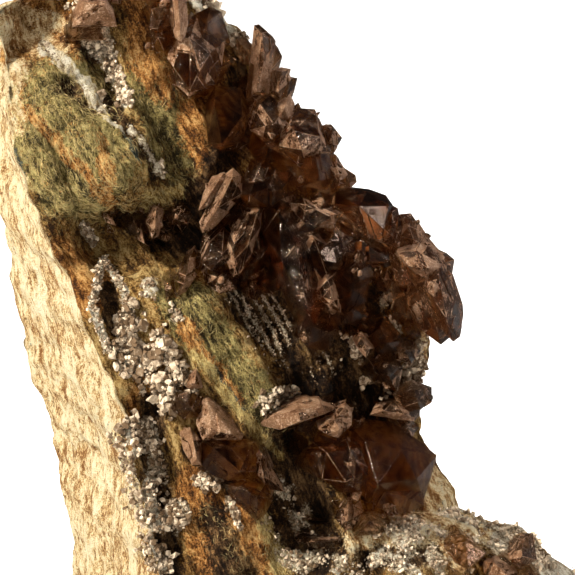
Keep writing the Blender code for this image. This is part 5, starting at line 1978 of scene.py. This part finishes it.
@dataclass(frozen=True)
class Fibres:
    """Loose fibres that lie along the rock's grain, as one piece of joined thin tubes."""

    count: int = 4200
    seed: int = 9
    radius: float = 0.024
    steps: int = 5

    def build(self, skin: Skin, material: Material) -> Piece:
        """Tubes along curved paths that follow the layers and lift off the rock in their middle.

        A path is its place, plus the layers' direction times the distance along it, plus a sideways bow
        and a lift off the rock that follow the square of that distance.

        Args:
            skin: the rock's skin.
            material: finish of the fibres.

        Returns:
            The piece.
        """
        rng = np.random.default_rng(self.seed)
        facing = skin.outward[..., 2] > 0.1
        zones = skin.zones
        chance = 0.6 * zones[Zone.MATTED] + 1.6 * zones[Zone.GOLD] + 0.3 * zones[Zone.GREEN]
        chance = chance * facing * skin.areas() * (skin.points[..., 1] > 2.0)
        numbers = rng.choice(chance.size, self.count, p=chance.ravel() / chance.sum())
        place, way = skin.place(numbers)
        turn = Slab.layer_turn + rng.normal(0.0, 0.6, self.count)
        along = np.stack([np.cos(turn), np.sin(turn), 0.0 * turn], axis=-1)
        along = unit(along - way * np.sum(along * way, axis=-1, keepdims=True))
        beside = np.cross(way, along)
        length = rng.uniform(0.4, 1.3, (self.count, 1, 1))
        share = np.linspace(-0.5, 0.5, self.steps + 1)[None, :, None]
        bow = rng.normal(0.0, 0.25, (self.count, 1, 1))
        lift = 0.02 + 0.12 * rng.random((self.count, 1, 1))
        path = place[:, None] + along[:, None] * share * length + beside[:, None] * bow * share**2 * 4.0
        path = path + way[:, None] * (lift * (1.0 - 5.0 * share**2))
        thickness = self.radius * rng.uniform(0.6, 1.3, (self.count, 1, 1)) * (1.0 - 2.6 * share**2 * 0.9)
        corner = np.arange(3) * 2 * pi / 3
        ring = beside[:, None, None] * np.cos(corner)[:, None] + way[:, None, None] * np.sin(corner)[:, None]
        points = path[:, :, None] + ring * thickness[..., None]
        index = np.arange(points[..., 0].size).reshape(points.shape[:3])
        beyond = np.roll(index, -1, axis=2)
        sides = np.stack([index[:, :-1], index[:, 1:], beyond[:, 1:], beyond[:, :-1]], axis=-1)
        faces = sides.reshape(-1, 4).tolist() + index[:, 0].tolist() + index[:, -1, ::-1].tolist()
        made = make_object("rock_fibres", above_floor(points).reshape(-1, 3), faces, material)
        set_attribute(made.data, "tone", np.repeat(rng.random(self.count), 3 * (self.steps + 1)))
        made.data.shade_smooth()
        fit_in(made, "root", "schist")
        return made


def above_floor(points: Array) -> Array:
    """The slab points, with those lower than the floor moved up to it along the slab."""
    low = np.minimum(stand(points)[..., 2:] / MM, 0.0)
    return points - low / cos(LEAN_BACK) * (0.0, 1.0, 0.0)


@dataclass(frozen=True)
class Lamp:
    """A square soft light that looks at the object, its place and side in metres, its power in watts.

    lights says whether it lights dull surfaces, and shines whether it shows in shiny ones.
    """

    name: str
    place: Corner
    size: float
    power: float
    colour: Colour
    lights: bool = True
    shines: bool = True

    def build(self) -> None:
        """The lamp in its place."""
        light = bpy.data.lights.new(self.name, "AREA")
        light.size, light.energy, light.color = self.size, self.power, self.colour
        lamp = show(bpy.data.objects.new(self.name, light))
        lamp.location = self.place
        lamp.visible_diffuse, lamp.visible_glossy = self.lights, self.shines
        aim = Vector(stand(np.array(TARGET))) - lamp.location
        lamp.rotation_euler = aim.to_track_quat("-Z", "Y").to_euler()


@dataclass(frozen=True)
class Studio:
    """The floor, the light and the camera at the photograph's angle."""

    floor_reach: float = 4.0
    paper_glow: float = 0.72
    white: Colour = (1.0, 1.0, 1.0)
    dim: Colour = (0.022, 0.018, 0.016)
    lamps: tuple[Lamp, ...] = (
        Lamp("key", (-0.62, -0.34, 0.56), 0.14, 19.0, (1.0, 0.95, 0.86)),
        Lamp("front", (-0.35, -0.80, 0.30), 0.50, 1.8, (1.0, 0.96, 0.92), shines=False),
        Lamp("top", (0.20, -0.15, 0.85), 0.22, 3.4, (1.0, 0.95, 0.92), shines=False),
        Lamp("rim", (0.60, 0.40, 0.35), 0.35, 7.0, (1.0, 0.97, 0.95), shines=False),
        Lamp("window right", (0.70, -0.37, 0.44), 0.16, 1.2, (1.0, 0.94, 0.94), lights=False),
        Lamp("window left", (-0.42, -0.52, 0.72), 0.20, 0.35, (1.0, 0.93, 0.90), lights=False),
    )

    def build(self) -> None:
        """Everything round the object."""
        self.add_floor()
        self.add_sky()
        for lamp in self.lamps:
            lamp.build()
        self.add_camera()

    def add_floor(self) -> None:
        """A plain pale floor under the object."""
        reach = self.floor_reach
        mesh = bpy.data.meshes.new("floor")
        corners = [(-reach, -reach, 0.0), (reach, -reach, 0.0), (reach, reach, 0.0), (-reach, reach, 0.0)]
        mesh.from_pydata(corners, [], [(0, 1, 2, 3)])
        mesh.materials.append(self.floor_material())
        floor = show(bpy.data.objects.new("floor", mesh))

    def floor_material(self) -> Material:
        """White paper that glows for what looks straight at it or through a crystal at it.

        Returns:
            The material.
        """
        nodes = Nodes(bpy.data.materials.new("paper"))
        path = nodes.add("ShaderNodeLightPath").outputs
        straight = nodes.math("MAXIMUM", path["Is Camera Ray"], path["Is Transmission Ray"])
        pale = nodes.blend(path["Is Glossy Ray"], (0.8, 0.8, 0.8), (0.1, 0.1, 0.1))
        paper = nodes.add("ShaderNodeBsdfDiffuse", {"Color": pale})
        glow = nodes.add("ShaderNodeEmission", {"Strength": nodes.scaled(straight, self.paper_glow)})
        both = nodes.add("ShaderNodeAddShader", {0: paper.outputs[0], 1: glow.outputs[0]})
        nodes.add("ShaderNodeOutputMaterial", {"Surface": both.outputs[0]})
        return nodes.owner

    def add_sky(self) -> None:
        """White all round where it is seen, and dim as a light."""
        world = bpy.data.worlds.new("studio")
        bpy.context.scene.world = world
        nodes = Nodes(world)
        path = nodes.add("ShaderNodeLightPath").outputs
        straight = nodes.math("MAXIMUM", path["Is Camera Ray"], path["Is Transmission Ray"])
        sky = nodes.add("ShaderNodeBackground", {"Color": nodes.blend(straight, self.dim, self.white)})
        nodes.add("ShaderNodeOutputWorld", {"Surface": sky.outputs[0]})

    def add_camera(self) -> None:
        """A camera that frames the photograph's square, level with the slab's face."""
        half_side = FRAME_SIDE / PIXELS_PER_MM / 2 * MM
        data = bpy.data.cameras.new("camera")
        data.angle = 2 * atan(half_side / CAMERA_DISTANCE)
        data.clip_end = 20.0
        camera = show(bpy.data.objects.new("camera", data))
        out = Vector((0.0, -cos(LEAN_BACK), sin(LEAN_BACK)))
        camera.location = Vector(stand(np.array(TARGET))) + out * CAMERA_DISTANCE
        camera.rotation_euler = (-out).to_track_quat("-Z", "Y").to_euler()
        bpy.context.scene.camera = camera


def report(piece: Piece) -> None:
    """Says what was built and how large it is.

    Args:
        piece: the finished piece.
    """
    mesh = piece.data
    mesh.calc_loop_triangles()
    counts = len(mesh.vertices), len(mesh.polygons), len(mesh.loop_triangles)
    LOG.info("%s: %d points, %d faces, %d triangles", piece.name, *counts)


def main() -> None:
    """Builds the rock, the crystals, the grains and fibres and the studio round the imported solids."""
    logging.basicConfig(level=logging.INFO, format="%(name)s %(message)s")
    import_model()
    bpy.context.scene.view_settings.view_transform = "Standard"
    slab = Slab()
    skin = slab.skin()
    report(slab.build(skin, RockFinish().material()))
    crystal_finish = AxiniteFinish().material()
    for seed, (name, crystals) in enumerate(CLUSTERS.items(), start=100):
        report(Cluster(name, crystals, seed).build(crystal_finish))
    for grains in Grains(GRAIN_PATCHES).build(skin, GrainFinish().material()):
        report(grains)
    report(Fibres().build(skin, FibreFinish().material()))
    Studio().build()


if __name__ == "__main__":
    main()
